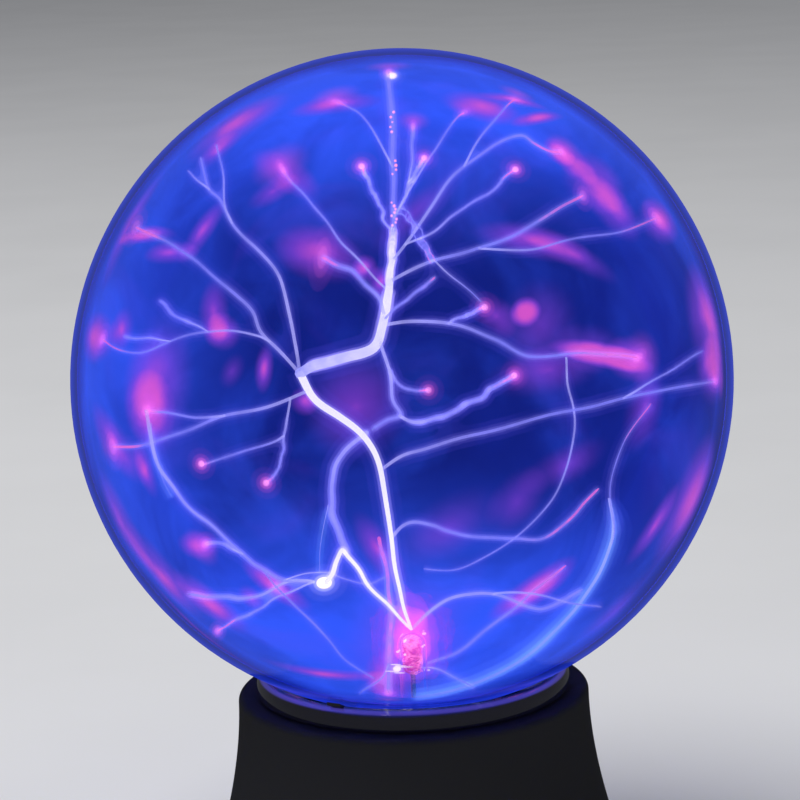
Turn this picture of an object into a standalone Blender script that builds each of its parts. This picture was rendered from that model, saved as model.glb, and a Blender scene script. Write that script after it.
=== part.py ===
"""Plasma ball: a gas-filled glass globe with a short glass electrode, on a flared black base.

The object stands on four rubber feet. Its origin is on the table under the globe's centre, +Z is up,
-Y is the front, and the flat facet with the switch and the supply socket faces +Y.
"""

import math

import bpy
from mathutils import Matrix

# Driving dimensions, in metres.
GAP = 0.0003
GLOBE_RADIUS = 0.1016
GLOBE_CENTRE_Z = 0.178
GLASS_WALL = 0.002
NECK_RADIUS = 0.020
NECK_BOTTOM_Z = 0.054
NECK_FILLET = 0.005
ELECTRODE_TIP_Z = 0.0977
ELECTRODE_RADIUS = 0.0046
ELECTRODE_WALL = 0.001

DECK_Z = 0.080
DECK_RADIUS = 0.055
DECK_FILLET = 0.002
DECK_HOLE_RADIUS = 0.038
BASE_FOOT_RADIUS = 0.074
BASE_BOTTOM_Z = 0.003
FLARE_POWER = 1.8
HOUSING_WALL = 0.0025
FACET_Y = 0.058

COVER_THICKNESS = 0.0025
COVER_RADIUS = 0.0698
COVER_SCREW_RADIUS = 0.060
COVER_SCREW_ANGLES = (20, 160, 240, 300)
FOOT_RADIUS = 0.007
FOOT_OFFSET = 0.042

LIP_CENTRE = (0.0444, 0.0827)
LIP_ROUND = 0.0048
DISH_OFFSET = 0.0014
SKIRT_OUTER, SKIRT_INNER = 0.0376, 0.0356
SKIRT_BOTTOM_Z = 0.072
HOOK_ANGLES = (30, 150, 270)
PAD_WIDTH = 0.0046
BRACKET_SCREW_RADIUS = 0.043
BRACKET_SCREW_ANGLES = (90, 210, 330)
BRACKET_Z = (0.062, 0.0657)
PAD_ANGLES = (0, 120, 240)

BOARD_Z = (0.0123, 0.0139)
BOARD_X = 0.035
BOARD_Y = (-0.016, 0.0544)
BOARD_HOLES = ((-0.030, -0.011), (0.030, -0.011), (-0.030, 0.049), (0.030, 0.049))
PARTS_Z = BOARD_Z[1] + GAP

TRANSFORMER_X, TRANSFORMER_Y = -0.015, 0.012
CORE_HALF_WIDTH, CORE_HALF_DEPTH, CORE_PLATE = 0.0155, 0.006, 0.0045
CORE_LEG, CORE_CENTRE_RADIUS, CORE_HALF_HEIGHT = 0.0035, 0.0042, 0.0118

SINK_X, SINK_PLATE, SINK_TOP_Z = 0.0275, 0.0020, 0.040
SINK_Y = (0.004, 0.034)
FIN_COUNT, FIN_WIDTH, FIN_REACH = 5, 0.0012, 0.008

SWITCH_X, SWITCH_Z = -0.014, 0.018
SWITCH_TRAVEL = 0.003
JACK_X, JACK_Z = 0.014, 0.0202
MICROPHONE_Z = 0.033

# Worked out from the driving dimensions.
FLARE_TOP_Z = DECK_Z - DECK_FILLET
DECK_UNDERSIDE_Z = DECK_Z - HOUSING_WALL
FACET_INNER_Y = FACET_Y - HOUSING_WALL
COVER_TOP_Z = BASE_BOTTOM_Z + COVER_THICKNESS
REACH = 0.2

parts_collection = None
cutters_collection = None


# ---------------------------------------------------------------- scene and materials


def clear_scene():
    global parts_collection, cutters_collection
    for obj in list(bpy.data.objects):
        bpy.data.objects.remove(obj, do_unlink=True)
    parts_collection = bpy.data.collections.new("plasma_ball")
    cutters_collection = bpy.data.collections.new("cutters")
    bpy.context.scene.collection.children.link(parts_collection)
    bpy.context.scene.collection.children.link(cutters_collection)


FINISHES = {
    "clear_glass": ((0.55, 0.68, 1.0), 0.03, 0.0),
    "gloss_black": ((0.012, 0.012, 0.016), 0.12, 0.0),
    "satin_black": ((0.02, 0.02, 0.024), 0.42, 0.0),
    "black_rubber": ((0.025, 0.025, 0.025), 0.85, 0.0),
    "grey_rubber": ((0.28, 0.28, 0.29), 0.8, 0.0),
    "red_silicone": ((0.45, 0.05, 0.04), 0.5, 0.0),
    "steel": ((0.62, 0.62, 0.64), 0.35, 1.0),
    "brass": ((0.72, 0.52, 0.22), 0.3, 1.0),
    "aluminium": ((0.75, 0.76, 0.78), 0.4, 1.0),
    "copper_enamel": ((0.55, 0.2, 0.07), 0.3, 0.6),
    "ferrite": ((0.06, 0.06, 0.065), 0.6, 0.0),
    "board_green": ((0.03, 0.16, 0.07), 0.4, 0.0),
    "epoxy_black": ((0.02, 0.02, 0.02), 0.5, 0.0),
    "bobbin_nylon": ((0.75, 0.72, 0.62), 0.5, 0.0),
    "sleeve_blue": ((0.04, 0.08, 0.3), 0.35, 0.0),
}


def material_for(name, finish):
    colour, roughness, metallic = FINISHES[finish]
    material = bpy.data.materials.new(name + "_" + finish)
    material.use_nodes = True
    surface = material.node_tree.nodes["Principled BSDF"]
    surface.inputs["Base Color"].default_value = (*colour, 1.0)
    surface.inputs["Roughness"].default_value = roughness
    surface.inputs["Metallic"].default_value = metallic
    if finish == "clear_glass":
        surface.inputs["Transmission Weight"].default_value = 1.0
    return material


def settle(obj, name, finish):
    """Puts an object in its collection: a part has a finish, and a cutter has none and isn't rendered."""
    obj.name = name
    obj.data.name = name
    for collection in list(obj.users_collection):
        collection.objects.unlink(obj)
    if finish is None:
        cutters_collection.objects.link(obj)
        obj.hide_render = True
        obj.display_type = "WIRE"
    else:
        parts_collection.objects.link(obj)
        obj.data.materials.clear()
        obj.data.materials.append(material_for(name, finish))
    return obj


# ---------------------------------------------------------------- shapes


def turned(name, outline, finish, closed=True, steps=32):
    """A turned solid about Z. The outline lists (radius, height), down the outer side and up the inner."""
    mesh = bpy.data.meshes.new(name)
    points = [(radius, 0.0, height) for radius, height in outline]
    edges = [(i, i + 1) for i in range(len(points) - 1)]
    if closed:
        edges.append((len(points) - 1, 0))
    mesh.from_pydata(points, edges, [])
    obj = settle(bpy.data.objects.new(name, mesh), name, finish)
    screw = obj.modifiers.new("turn", "SCREW")
    screw.steps = screw.render_steps = steps
    screw.use_merge_vertices = True
    screw.merge_threshold = 0.00001
    return obj


def block(name, low, high, finish, bevel=0.0):
    """A box between two corners, with rounded edges where bevel is its radius."""
    size = [b - a for a, b in zip(low, high)]
    middle = [(a + b) / 2 for a, b in zip(low, high)]
    bpy.ops.mesh.primitive_cube_add(size=1, location=middle)
    obj = settle(bpy.context.object, name, finish)
    obj.data.transform(Matrix.Diagonal((*size, 1.0)))
    if bevel:
        edge = obj.modifiers.new("rounding", "BEVEL")
        edge.width = bevel
        edge.segments = 2
    return obj


def rod(name, radius, low, high, finish, axis="Z", sides=24):
    """A cylinder from low to high along one axis. Both ends are points on its centreline."""
    length = sum(abs(b - a) for a, b in zip(low, high))
    middle = [(a + b) / 2 for a, b in zip(low, high)]
    turn = {"X": (0, math.pi / 2, 0), "Y": (math.pi / 2, 0, 0), "Z": (0, 0, 0)}[axis]
    bpy.ops.mesh.primitive_cylinder_add(
        vertices=sides, radius=radius, depth=length, location=middle, rotation=turn
    )
    cylinder = settle(bpy.context.object, name, finish)
    cylinder.data.shade_smooth()
    cylinder.data.set_sharp_from_angle(angle=math.radians(40))
    return cylinder


def combine(obj, other, operation):
    step = obj.modifiers.new(operation.lower() + "_" + other.name, "BOOLEAN")
    step.operation = operation
    step.object = other
    return obj


def cut(obj, *cutters):
    for cutter in cutters:
        combine(obj, cutter, "DIFFERENCE")
    return obj


def join(obj, *others):
    for other in others:
        combine(obj, other, "UNION")
    return obj


def wire(name, points, radius, finish):
    """An insulated wire along a smooth line through the given points."""
    guide = catmull_rom(points, 4)
    curve = bpy.data.curves.new(name, "CURVE")
    curve.dimensions = "3D"
    curve.bevel_depth = radius
    curve.bevel_resolution = 2
    curve.use_fill_caps = True
    spline = curve.splines.new("POLY")
    spline.points.add(len(guide) - 1)
    for point, place in zip(spline.points, guide):
        point.co = (*place, 1.0)
    return settle(bpy.data.objects.new(name, curve), name, finish)


def catmull_rom(points, steps):
    """Points along a smooth curve through the given ones."""
    first = [2 * a - b for a, b in zip(points[0], points[1])]
    last = [2 * a - b for a, b in zip(points[-1], points[-2])]
    padded = [first, *points, last]
    line = []
    for i in range(len(points) - 1):
        p0, p1, p2, p3 = padded[i : i + 4]
        for k in range(steps):
            t = k / steps
            line.append(
                tuple(
                    0.5
                    * (
                        2 * b
                        + (c - a) * t
                        + (2 * a - 5 * b + 4 * c - d) * t * t
                        + (3 * b - a - 3 * c + d) * t**3
                    )
                    for a, b, c, d in zip(p0, p1, p2, p3)
                )
            )
    return [*line, tuple(points[-1])]


def arc(centre, radius, start, end, steps):
    """Points on a circle in the (radius, height) plane, angles in degrees from the outward direction."""
    angles = [math.radians(start + (end - start) * i / steps) for i in range(steps + 1)]
    return [(centre[0] + radius * math.cos(a), centre[1] + radius * math.sin(a)) for a in angles]


def below_globe(distance, radius):
    """The height of the surface that lies a distance outside the glass, under the globe, at a radius."""
    return GLOBE_CENTRE_Z - math.sqrt((GLOBE_RADIUS + distance) ** 2 - radius**2)


def around(angle, radius):
    return radius * math.cos(math.radians(angle)), radius * math.sin(math.radians(angle))


# ---------------------------------------------------------------- glass, electrode and gas space


def globe_outline(offset, sphere_steps):
    """One wall of the blown globe: the sphere from its top, the fillet, and the neck down to its rim."""
    reach = GLOBE_RADIUS + NECK_FILLET
    fillet_radius = NECK_RADIUS + NECK_FILLET
    fillet_drop = math.sqrt(reach**2 - fillet_radius**2)
    last = math.degrees(math.atan2(-fillet_drop, fillet_radius))
    sphere = arc((0, GLOBE_CENTRE_Z), GLOBE_RADIUS - offset, 90, last, sphere_steps)
    sphere[0] = (0, GLOBE_CENTRE_Z + GLOBE_RADIUS - offset)
    centre = (fillet_radius, GLOBE_CENTRE_Z - fillet_drop)
    fillet = arc(centre, NECK_FILLET + offset, last + 180, 180, 3)
    return sphere + fillet[1:] + [(NECK_RADIUS - offset, NECK_BOTTOM_Z)]


def make_globe():
    outer = globe_outline(0, 15)
    inner = globe_outline(GLASS_WALL, 13)
    turned("glass_globe", outer + inner[::-1], "clear_glass", closed=False, steps=36)


def make_electrode():
    """The closed glass tube that stands in the globe, with the flare that is fused into the neck."""
    flare_top_z, flare_edge_z = 0.064, 0.0555
    edge_radius = NECK_RADIUS - GLASS_WALL - GAP
    inner_radius = ELECTRODE_RADIUS - ELECTRODE_WALL
    dome_z = ELECTRODE_TIP_Z - ELECTRODE_RADIUS
    drop = flare_top_z - flare_edge_z
    spread = edge_radius - ELECTRODE_RADIUS

    def flare(shift):
        """A quarter ellipse from the tube to the rim."""
        turns = [math.radians(90 * i / 5) for i in range(6)]
        return [
            (
                ELECTRODE_RADIUS - shift + spread * (1 - math.cos(a)),
                flare_top_z - shift - drop * math.sin(a),
            )
            for a in turns
        ]

    outer = arc((0, dome_z), ELECTRODE_RADIUS, 90, 0, 5)
    outer[0] = (0, ELECTRODE_TIP_Z)
    inner = arc((0, dome_z), inner_radius, 0, 90, 5)
    inner[-1] = (0, dome_z + inner_radius)
    outline = outer + flare(0) + flare(ELECTRODE_WALL)[::-1] + inner
    turned("electrode_tube", outline, "clear_glass", closed=False, steps=20)

    wool_radius = inner_radius - GAP
    wool_bottom, wool_top = 0.0840, dome_z
    wool = arc((0, wool_top), wool_radius, 90, 0, 4)
    wool = [(0, wool_top + wool_radius), *wool[1:], (wool_radius, wool_bottom), (0, wool_bottom)]
    turned("steel_wool", wool, "steel", closed=False, steps=16)

    rod_bottom = 0.0498
    rod("contact_rod", 0.0008, (0, 0, rod_bottom), (0, 0, wool_bottom - GAP), "brass", sides=12)

    bore = 0.0011
    # The outline goes up the bore, over the collar at its mouth, and down the outside.
    boot = [
        (0, rod_bottom - GAP),
        (bore, rod_bottom - GAP),
        (bore, 0.062),
        (0.0030, 0.062),
        (0.0030, 0.0565),
        (0.0090, 0.0535),
        (0.0090, 0.0475),
        (0.0075, 0.0460),
        (0, 0.0460),
    ]
    turned("hv_boot", boot, "red_silicone", closed=False, steps=16)


# ---------------------------------------------------------------- collar, pads and neck mounting


def globe_band(name, near, far, inner_radius, outer_radius, finish, steps=5):
    """A ring between two distances from the glass, under the globe."""
    radii = [inner_radius + (outer_radius - inner_radius) * i / steps for i in range(steps + 1)]
    upper = [(r, below_globe(near, r)) for r in radii]
    lower = [(r, below_globe(far, r)) for r in reversed(radii)]
    return turned(name, upper + lower, finish, steps=48)


def slab_at(name, angle, width, finish=None):
    """A tall narrow box that reaches out from the axis at an angle."""
    slab = block(name, (0, -width / 2, -REACH), (REACH, width / 2, REACH), finish)
    slab.matrix_world = Matrix.Rotation(math.radians(angle), 4, "Z") @ slab.matrix_world
    return slab


def make_collar():
    lip = arc(LIP_CENTRE, LIP_ROUND, 66, 0, 4)
    wall_radius = LIP_CENTRE[0] + LIP_ROUND
    rest_z = DECK_Z + GAP
    dish_radii = [SKIRT_INNER + (0.0443 - SKIRT_INNER) * i / 3 for i in range(4)]
    dish = [(r, below_globe(DISH_OFFSET, r)) for r in dish_radii]
    outline = [
        *lip,
        (wall_radius, rest_z),
        (SKIRT_OUTER, rest_z),
        (SKIRT_OUTER, SKIRT_BOTTOM_Z),
        (SKIRT_INNER, SKIRT_BOTTOM_Z),
        *dish,
        (0.0449, below_globe(0.0006, 0.0449)),
    ]
    collar = turned("collar_ring", outline, "gloss_black", steps=44)
    for i, angle in enumerate(HOOK_ANGLES):
        low = (SKIRT_INNER + 0.0005, -0.004, DECK_UNDERSIDE_Z - 0.003)
        high = (DECK_HOLE_RADIUS + 0.0018, 0.004, DECK_UNDERSIDE_Z - GAP)
        hook = block(f"collar_hook_{i + 1}", low, high, None)
        hook.matrix_world = Matrix.Rotation(math.radians(angle), 4, "Z") @ hook.matrix_world
        join(collar, hook)
    for i, angle in enumerate(PAD_ANGLES):
        notch = globe_band(f"notch_{i + 1}", -0.001, DISH_OFFSET, 0.0385, 0.0500, None)
        combine(notch, slab_at(f"notch_width_{i + 1}", angle, PAD_WIDTH + 2 * GAP), "INTERSECT")
        cut(collar, notch)


def make_pads():
    """The rubber pads that the glass sits on, in notches of the collar."""
    for i, angle in enumerate(PAD_ANGLES):
        pad = globe_band(
            f"cushion_pad_{i + 1}", GAP, DISH_OFFSET - GAP, 0.0390, 0.0486, "black_rubber"
        )
        combine(pad, slab_at(f"pad_width_{i + 1}", angle, PAD_WIDTH), "INTERSECT")


def make_neck_mounting():
    web, flange, neck = 0.0232, 0.027, NECK_RADIUS + GAP
    low, high = BRACKET_Z
    grommet = [
        (flange, high + 0.0025),
        (flange, high + GAP),
        (web, high + GAP),
        (web, low - GAP),
        (flange, low - GAP),
        (flange, low - 0.0025),
        (neck, low - 0.0025),
        (neck, high + 0.0025),
    ]
    turned("neck_grommet", grommet, "black_rubber", steps=28)

    inner, outer = web + GAP, 0.031
    ring = [(outer, high), (outer, low), (inner, low), (inner, high)]
    bracket = turned("neck_bracket", ring, "steel", steps=28)
    for i, angle in enumerate(BRACKET_SCREW_ANGLES):
        start = (outer - 0.002, -0.0055, low)
        arm = block(f"bracket_arm_{i + 1}", start, (0.0475, 0.0055, high), None)
        arm.matrix_world = Matrix.Rotation(math.radians(angle), 4, "Z") @ arm.matrix_world
        join(bracket, arm)
    for i, angle in enumerate(BRACKET_SCREW_ANGLES):
        x, y = around(angle, BRACKET_SCREW_RADIUS)
        hole = rod(f"bracket_hole_{i + 1}", 0.0018, (x, y, low - 0.01), (x, y, high + 0.01), None)
        cut(bracket, hole)
        screw(f"bracket_screw_{i + 1}", (x, y), low - GAP, 0.011, head_down=True)


# ---------------------------------------------------------------- screws


def screw(name, place, seat_z, length, head_down, head_radius=0.0030, shank_radius=0.0012):
    """A pan-head screw whose head rests on seat_z, with a cross recess in the head."""
    sign = -1 if head_down else 1
    head_height = 0.0016
    crown, rim = sign * head_height, sign * head_height * 0.55
    point = -sign * length
    outline = [
        (0, crown),
        (head_radius * 0.75, crown),
        (head_radius, rim),
        (head_radius, 0),
        (shank_radius, 0),
        (shank_radius, point + sign * 0.0015),
        (0.0004, point),
        (0, point),
    ]
    if head_down:
        outline.reverse()
    body = turned(name, outline, "steel", closed=False, steps=10)
    body.location = (*place, seat_z)
    for axis, size in (("x", (0.0032, 0.0007)), ("y", (0.0007, 0.0032))):
        half_x, half_y = size[0] / 2, size[1] / 2
        depth = sorted((crown * 1.5, crown * 0.45))
        slot = block(
            f"{name}_recess_{axis}", (-half_x, -half_y, depth[0]), (half_x, half_y, depth[1]), None
        )
        slot.location = (
            slot.location.x + place[0],
            slot.location.y + place[1],
            slot.location.z + seat_z,
        )
        cut(body, slot)
    return body


# ---------------------------------------------------------------- base housing and cover


def flare_radius(z):
    """The outer radius of the base: a concave flare from the deck down to the foot."""
    share = (FLARE_TOP_Z - z) / (FLARE_TOP_Z - BASE_BOTTOM_Z)
    return DECK_RADIUS + (BASE_FOOT_RADIUS - DECK_RADIUS) * max(share, 0) ** FLARE_POWER


def base_solid(name, inset, top_z, bottom_z, facet_y, finish=None):
    """The base's form as a solid, drawn in by an inset, and cut flat at the rear."""
    steps = 6
    heights = [FLARE_TOP_Z + (BASE_BOTTOM_Z - FLARE_TOP_Z) * i / steps for i in range(steps + 1)]
    sides = [(flare_radius(z) - inset, z) for z in heights if z < top_z - 0.0001]
    sides[-1] = (sides[-1][0], bottom_z)
    if inset == 0:
        fillet_centre = (DECK_RADIUS - DECK_FILLET, FLARE_TOP_Z)
        sides = arc(fillet_centre, DECK_FILLET, 90, 0, 3)[:-1] + sides
        crown = [(0, DECK_Z)]
    else:
        crown = [(0, top_z), (DECK_RADIUS - inset, top_z)]
    solid = turned(name, [*crown, *sides, (0, bottom_z)], finish, closed=False, steps=44)
    rear = block(name + "_facet", (-REACH, facet_y, -REACH), (REACH, REACH, REACH), None)
    return cut(solid, rear)


def make_housing():
    housing = base_solid("base_housing", 0, DECK_Z, BASE_BOTTOM_Z, FACET_Y, "satin_black")
    cavity = base_solid(
        "cavity", HOUSING_WALL, DECK_UNDERSIDE_Z, BASE_BOTTOM_Z - 0.002, FACET_INNER_Y
    )
    cut(housing, cavity)
    opening = rod("deck_hole", DECK_HOLE_RADIUS, (0, 0, 0.07), (0, 0, 0.09), None, sides=44)
    cut(housing, opening)
    mid_wall = HOUSING_WALL / 2
    envelope = base_solid(
        "boss_limit", mid_wall, DECK_Z - mid_wall, BASE_BOTTOM_Z, FACET_Y - mid_wall
    )
    boss_bottom = COVER_TOP_Z + GAP
    for i, angle in enumerate(COVER_SCREW_ANGLES):
        x, y = around(angle, COVER_SCREW_RADIUS)
        boss = rod(f"cover_boss_{i + 1}", 0.0038, (x, y, boss_bottom), (x, y, 0.036), None, sides=12)
        rib = block(
            f"cover_rib_{i + 1}",
            (COVER_SCREW_RADIUS + 0.002, -0.001, boss_bottom + 0.004),
            (COVER_SCREW_RADIUS + 0.014, 0.001, 0.030),
            None,
        )
        rib.matrix_world = Matrix.Rotation(math.radians(angle), 4, "Z") @ rib.matrix_world
        for piece in (boss, rib):
            combine(piece, envelope, "INTERSECT")
            join(housing, piece)
        pilot = rod(f"cover_pilot_{i + 1}", 0.0017, (x, y, 0), (x, y, 0.020), None, sides=12)
        cut(housing, pilot)
    for i, angle in enumerate(BRACKET_SCREW_ANGLES):
        x, y = around(angle, BRACKET_SCREW_RADIUS)
        seat = BRACKET_Z[1] + GAP
        boss = rod(f"deck_boss_{i + 1}", 0.0036, (x, y, seat), (x, y, DECK_Z - mid_wall), None, sides=16)
        join(housing, boss)
        pilot = rod(f"deck_pilot_{i + 1}", 0.0017, (x, y, seat - 0.01), (x, y, 0.0760), None, sides=12)
        cut(housing, pilot)
    facet_low, facet_high = FACET_INNER_Y - 0.005, FACET_Y + 0.005
    half_x, half_z = 0.0025 + SWITCH_TRAVEL, 0.0020
    cut(
        housing,
        block(
            "switch_slot",
            (SWITCH_X - half_x, facet_low, SWITCH_Z - half_z),
            (SWITCH_X + half_x, facet_high, SWITCH_Z + half_z),
            None,
        ),
        rod("jack_hole", 0.0052, (JACK_X, facet_low, JACK_Z), (JACK_X, facet_high, JACK_Z), None, "Y", 24),
        rod(
            "microphone_hole",
            0.0011,
            (0, facet_low, MICROPHONE_Z),
            (0, facet_high, MICROPHONE_Z),
            None,
            "Y",
            12,
        ),
    )


def make_cover():
    """The plate that closes the base, with the standoffs for the board."""
    outline = [
        (0, COVER_TOP_Z),
        (COVER_RADIUS, COVER_TOP_Z),
        (COVER_RADIUS, BASE_BOTTOM_Z),
        (0, BASE_BOTTOM_Z),
    ]
    cover = turned("bottom_cover", outline, "satin_black", closed=False, steps=44)
    edge_y = FACET_INNER_Y - GAP
    cut(cover, block("cover_facet", (-REACH, edge_y, -REACH), (REACH, REACH, REACH), None))
    for i, (x, y) in enumerate(BOARD_HOLES):
        low, high = COVER_TOP_Z - 0.001, BOARD_Z[0] - GAP
        join(cover, rod(f"standoff_{i + 1}", 0.0034, (x, y, low), (x, y, high), None, sides=16))
        pilot = rod(f"board_pilot_{i + 1}", 0.0016, (x, y, COVER_TOP_Z), (x, y, 0.02), None, sides=12)
        cut(cover, pilot)
        screw(f"board_screw_{i + 1}", (x, y), PARTS_Z, 0.0075, head_down=False, head_radius=0.0026)
    for i, angle in enumerate(COVER_SCREW_ANGLES):
        x, y = around(angle, COVER_SCREW_RADIUS)
        seat = BASE_BOTTOM_Z + 0.0012
        hole = rod(f"cover_hole_{i + 1}", 0.0018, (x, y, 0), (x, y, 0.01), None, sides=12)
        recess = rod(f"cover_recess_{i + 1}", 0.0036, (x, y, 0), (x, y, seat), None, sides=12)
        cut(cover, hole, recess)
        screw(f"cover_screw_{i + 1}", (x, y), seat - GAP, 0.0125, head_down=True)
    for i, (x, y) in enumerate(foot_places()):
        hole = rod(f"foot_hole_{i + 1}", 0.0028, (x, y, 0), (x, y, 0.01), None, sides=12)
        cut(cover, hole)
    for i in range(7):
        x = (i - 3) * 0.006
        slot = block(f"vent_{i + 1}", (x - 0.0012, -0.050, 0), (x + 0.0012, -0.026, 0.01), None)
        cut(cover, slot)


def foot_places():
    return [(sx * FOOT_OFFSET, sy * FOOT_OFFSET) for sx, sy in ((-1, -1), (1, -1), (-1, 1), (1, 1))]


def make_feet():
    pad_top = BASE_BOTTOM_Z - GAP
    outline = [
        (0, 0.0068),
        (0.0019, 0.0068),
        (0.0024, 0.0060),
        (0.0024, pad_top),
        (FOOT_RADIUS, pad_top),
        (FOOT_RADIUS, 0.0008),
        (FOOT_RADIUS - 0.0008, 0),
        (0, 0),
    ]
    for i, place in enumerate(foot_places()):
        foot = turned(f"rubber_foot_{i + 1}", outline, "black_rubber", closed=False, steps=16)
        foot.location = (*place, 0)


# ---------------------------------------------------------------- board and electronics


def make_board():
    low, high = (-BOARD_X, BOARD_Y[0], BOARD_Z[0]), (BOARD_X, BOARD_Y[1], BOARD_Z[1])
    board = block("circuit_board", low, high, "board_green")
    for i, (x, y) in enumerate(BOARD_HOLES):
        cut(board, rod(f"board_hole_{i + 1}", 0.0017, (x, y, 0), (x, y, 0.03), None, sides=12))


def make_core(name, plate_z, tip_z):
    """One half of the E-shaped ferrite core, with a round middle leg."""
    x, y = TRANSFORMER_X, TRANSFORMER_Y
    sign = 1 if tip_z > plate_z else -1
    low, high = sorted((plate_z, plate_z + sign * CORE_PLATE))
    core = block(
        name,
        (x - CORE_HALF_WIDTH, y - CORE_HALF_DEPTH, low),
        (x + CORE_HALF_WIDTH, y + CORE_HALF_DEPTH, high),
        "ferrite",
    )
    leg_low, leg_high = sorted((plate_z + sign * 0.001, tip_z))
    for side, outer in (("left", -1), ("right", 1)):
        xs = sorted((x + outer * CORE_HALF_WIDTH, x + outer * (CORE_HALF_WIDTH - CORE_LEG)))
        leg = block(
            f"{name}_{side}_leg",
            (xs[0], y - CORE_HALF_DEPTH, leg_low),
            (xs[1], y + CORE_HALF_DEPTH, leg_high),
            None,
        )
        join(core, leg)
    middle = rod(f"{name}_middle", CORE_CENTRE_RADIUS, (x, y, leg_low), (x, y, leg_high), None, sides=20)
    return join(core, middle)


def make_transformer():
    bottom = PARTS_Z
    parting = bottom + CORE_HALF_HEIGHT
    top = parting + GAP + CORE_HALF_HEIGHT
    make_core("transformer_core_lower", bottom, parting)
    make_core("transformer_core_upper", top, parting + GAP)
    low, high = bottom + CORE_PLATE + GAP, top - CORE_PLATE - GAP
    bore, barrel, flange = CORE_CENTRE_RADIUS + GAP, 0.0058, 0.0108
    rim = 0.0011
    bobbin = [
        (flange, high),
        (flange, high - rim),
        (barrel, high - rim),
        (barrel, low + rim),
        (flange, low + rim),
        (flange, low),
        (bore, low),
        (bore, high),
    ]
    inner, outer = barrel + GAP, 0.0103
    winding_low, winding_high = low + rim + GAP, high - rim - GAP
    winding = [
        (outer, winding_high),
        (outer, winding_low),
        (inner, winding_low),
        (inner, winding_high),
    ]
    for name, outline, finish in (
        ("transformer_bobbin", bobbin, "bobbin_nylon"),
        ("transformer_winding", winding, "copper_enamel"),
    ):
        ring = turned(name, outline, finish, steps=20)
        ring.location = (TRANSFORMER_X, TRANSFORMER_Y, 0)
    lead_y = TRANSFORMER_Y - outer - GAP
    lead_z = (winding_low + winding_high) / 2
    route = [
        (TRANSFORMER_X, lead_y, lead_z),
        (TRANSFORMER_X, lead_y - 0.006, lead_z + 0.0005),
        (-0.0120, -0.0110, 0.0300),
        (-0.0060, -0.0125, 0.0350),
        (-0.0025, -0.0080, 0.0385),
        (0.0, -0.0030, 0.0400),
        (0.0, 0.0, 0.0430),
        (0.0, 0.0, 0.0457),
    ]
    wire("hv_lead", route, 0.0013, "red_silicone")


def make_driver_parts():
    low, high = (SINK_X, SINK_Y[0], PARTS_Z), (SINK_X + SINK_PLATE, SINK_Y[1], SINK_TOP_Z)
    sink = block("heat_sink", low, high, "aluminium")
    inset = 0.0001
    room = SINK_Y[1] - SINK_Y[0] - FIN_WIDTH - 2 * inset
    for i in range(FIN_COUNT):
        y = SINK_Y[0] + inset + i * room / (FIN_COUNT - 1)
        fin = block(
            f"fin_{i + 1}",
            (SINK_X + SINK_PLATE / 2, y, PARTS_Z + inset),
            (SINK_X + FIN_REACH, y + FIN_WIDTH, SINK_TOP_Z - inset),
            None,
        )
        join(sink, fin)
    transistor_y, transistor_z = 0.019, 0.030
    tab_x = SINK_X - GAP - 0.0013
    transistor = block(
        "power_transistor",
        (tab_x - 0.0032, transistor_y - 0.005, 0.0175),
        (tab_x, transistor_y + 0.005, 0.0265),
        "epoxy_black",
    )
    tab = block(
        "transistor_tab",
        (tab_x - 0.0001, transistor_y - 0.0049, 0.0176),
        (SINK_X - GAP, transistor_y + 0.0049, 0.0335),
        None,
    )
    join(transistor, tab)
    hole_start, hole_end = (0.02, transistor_y, transistor_z), (0.0330, transistor_y, transistor_z)
    for name, target in (("tab_hole", transistor), ("sink_hole", sink)):
        cut(target, rod(name, 0.0018, hole_start, hole_end, None, "X", 12))
    fixing = screw("transistor_screw", (0, 0), 0, 0.006, head_down=False, head_radius=0.0026)
    turn = Matrix.Rotation(math.radians(-90), 4, "Y")
    place = Matrix.Translation((tab_x - 0.0003, transistor_y, transistor_z)) @ turn
    fixing.matrix_world = place @ fixing.matrix_world
    for step in fixing.modifiers:
        if step.type == "BOOLEAN":
            step.object.matrix_world = place @ step.object.matrix_world

    for name, x, y, radius, height in (
        ("filter_capacitor", 0.010, 0.030, 0.0050, 0.016),
        ("supply_capacitor", 0.002, 0.044, 0.0040, 0.012),
    ):
        outline = [
            (0, PARTS_Z + height),
            (radius - 0.0006, PARTS_Z + height),
            (radius, PARTS_Z + height - 0.0006),
            (radius, PARTS_Z + 0.0028),
            (radius - 0.0004, PARTS_Z + 0.0022),
            (radius, PARTS_Z + 0.0016),
            (radius, PARTS_Z),
            (0, PARTS_Z),
        ]
        can = turned(name, outline, "sleeve_blue", closed=False, steps=16)
        can.location = (x, y, 0)
    low, high = (0.005, 0.008, PARTS_Z), (0.0145, 0.0143, PARTS_Z + 0.0034)
    block("control_chip", low, high, "epoxy_black", 0.0003)


def make_jack():
    """The barrel socket for the supply plug, with its centre pin set back from the mouth."""
    front = FACET_INNER_Y - GAP
    low, high = (JACK_X - 0.0045, 0.041, PARTS_Z), (JACK_X + 0.0045, front, PARTS_Z + 0.011)
    body = block("dc_jack", low, high, "epoxy_black")
    bore_start, bore_end = (JACK_X, 0.0435, JACK_Z), (JACK_X, 0.06, JACK_Z)
    cut(body, rod("jack_bore", 0.0032, bore_start, bore_end, None, "Y", 24))
    rod("dc_jack_pin", 0.0010, (JACK_X, 0.0438, JACK_Z), (JACK_X, 0.0515, JACK_Z), "brass", "Y", 12)


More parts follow.
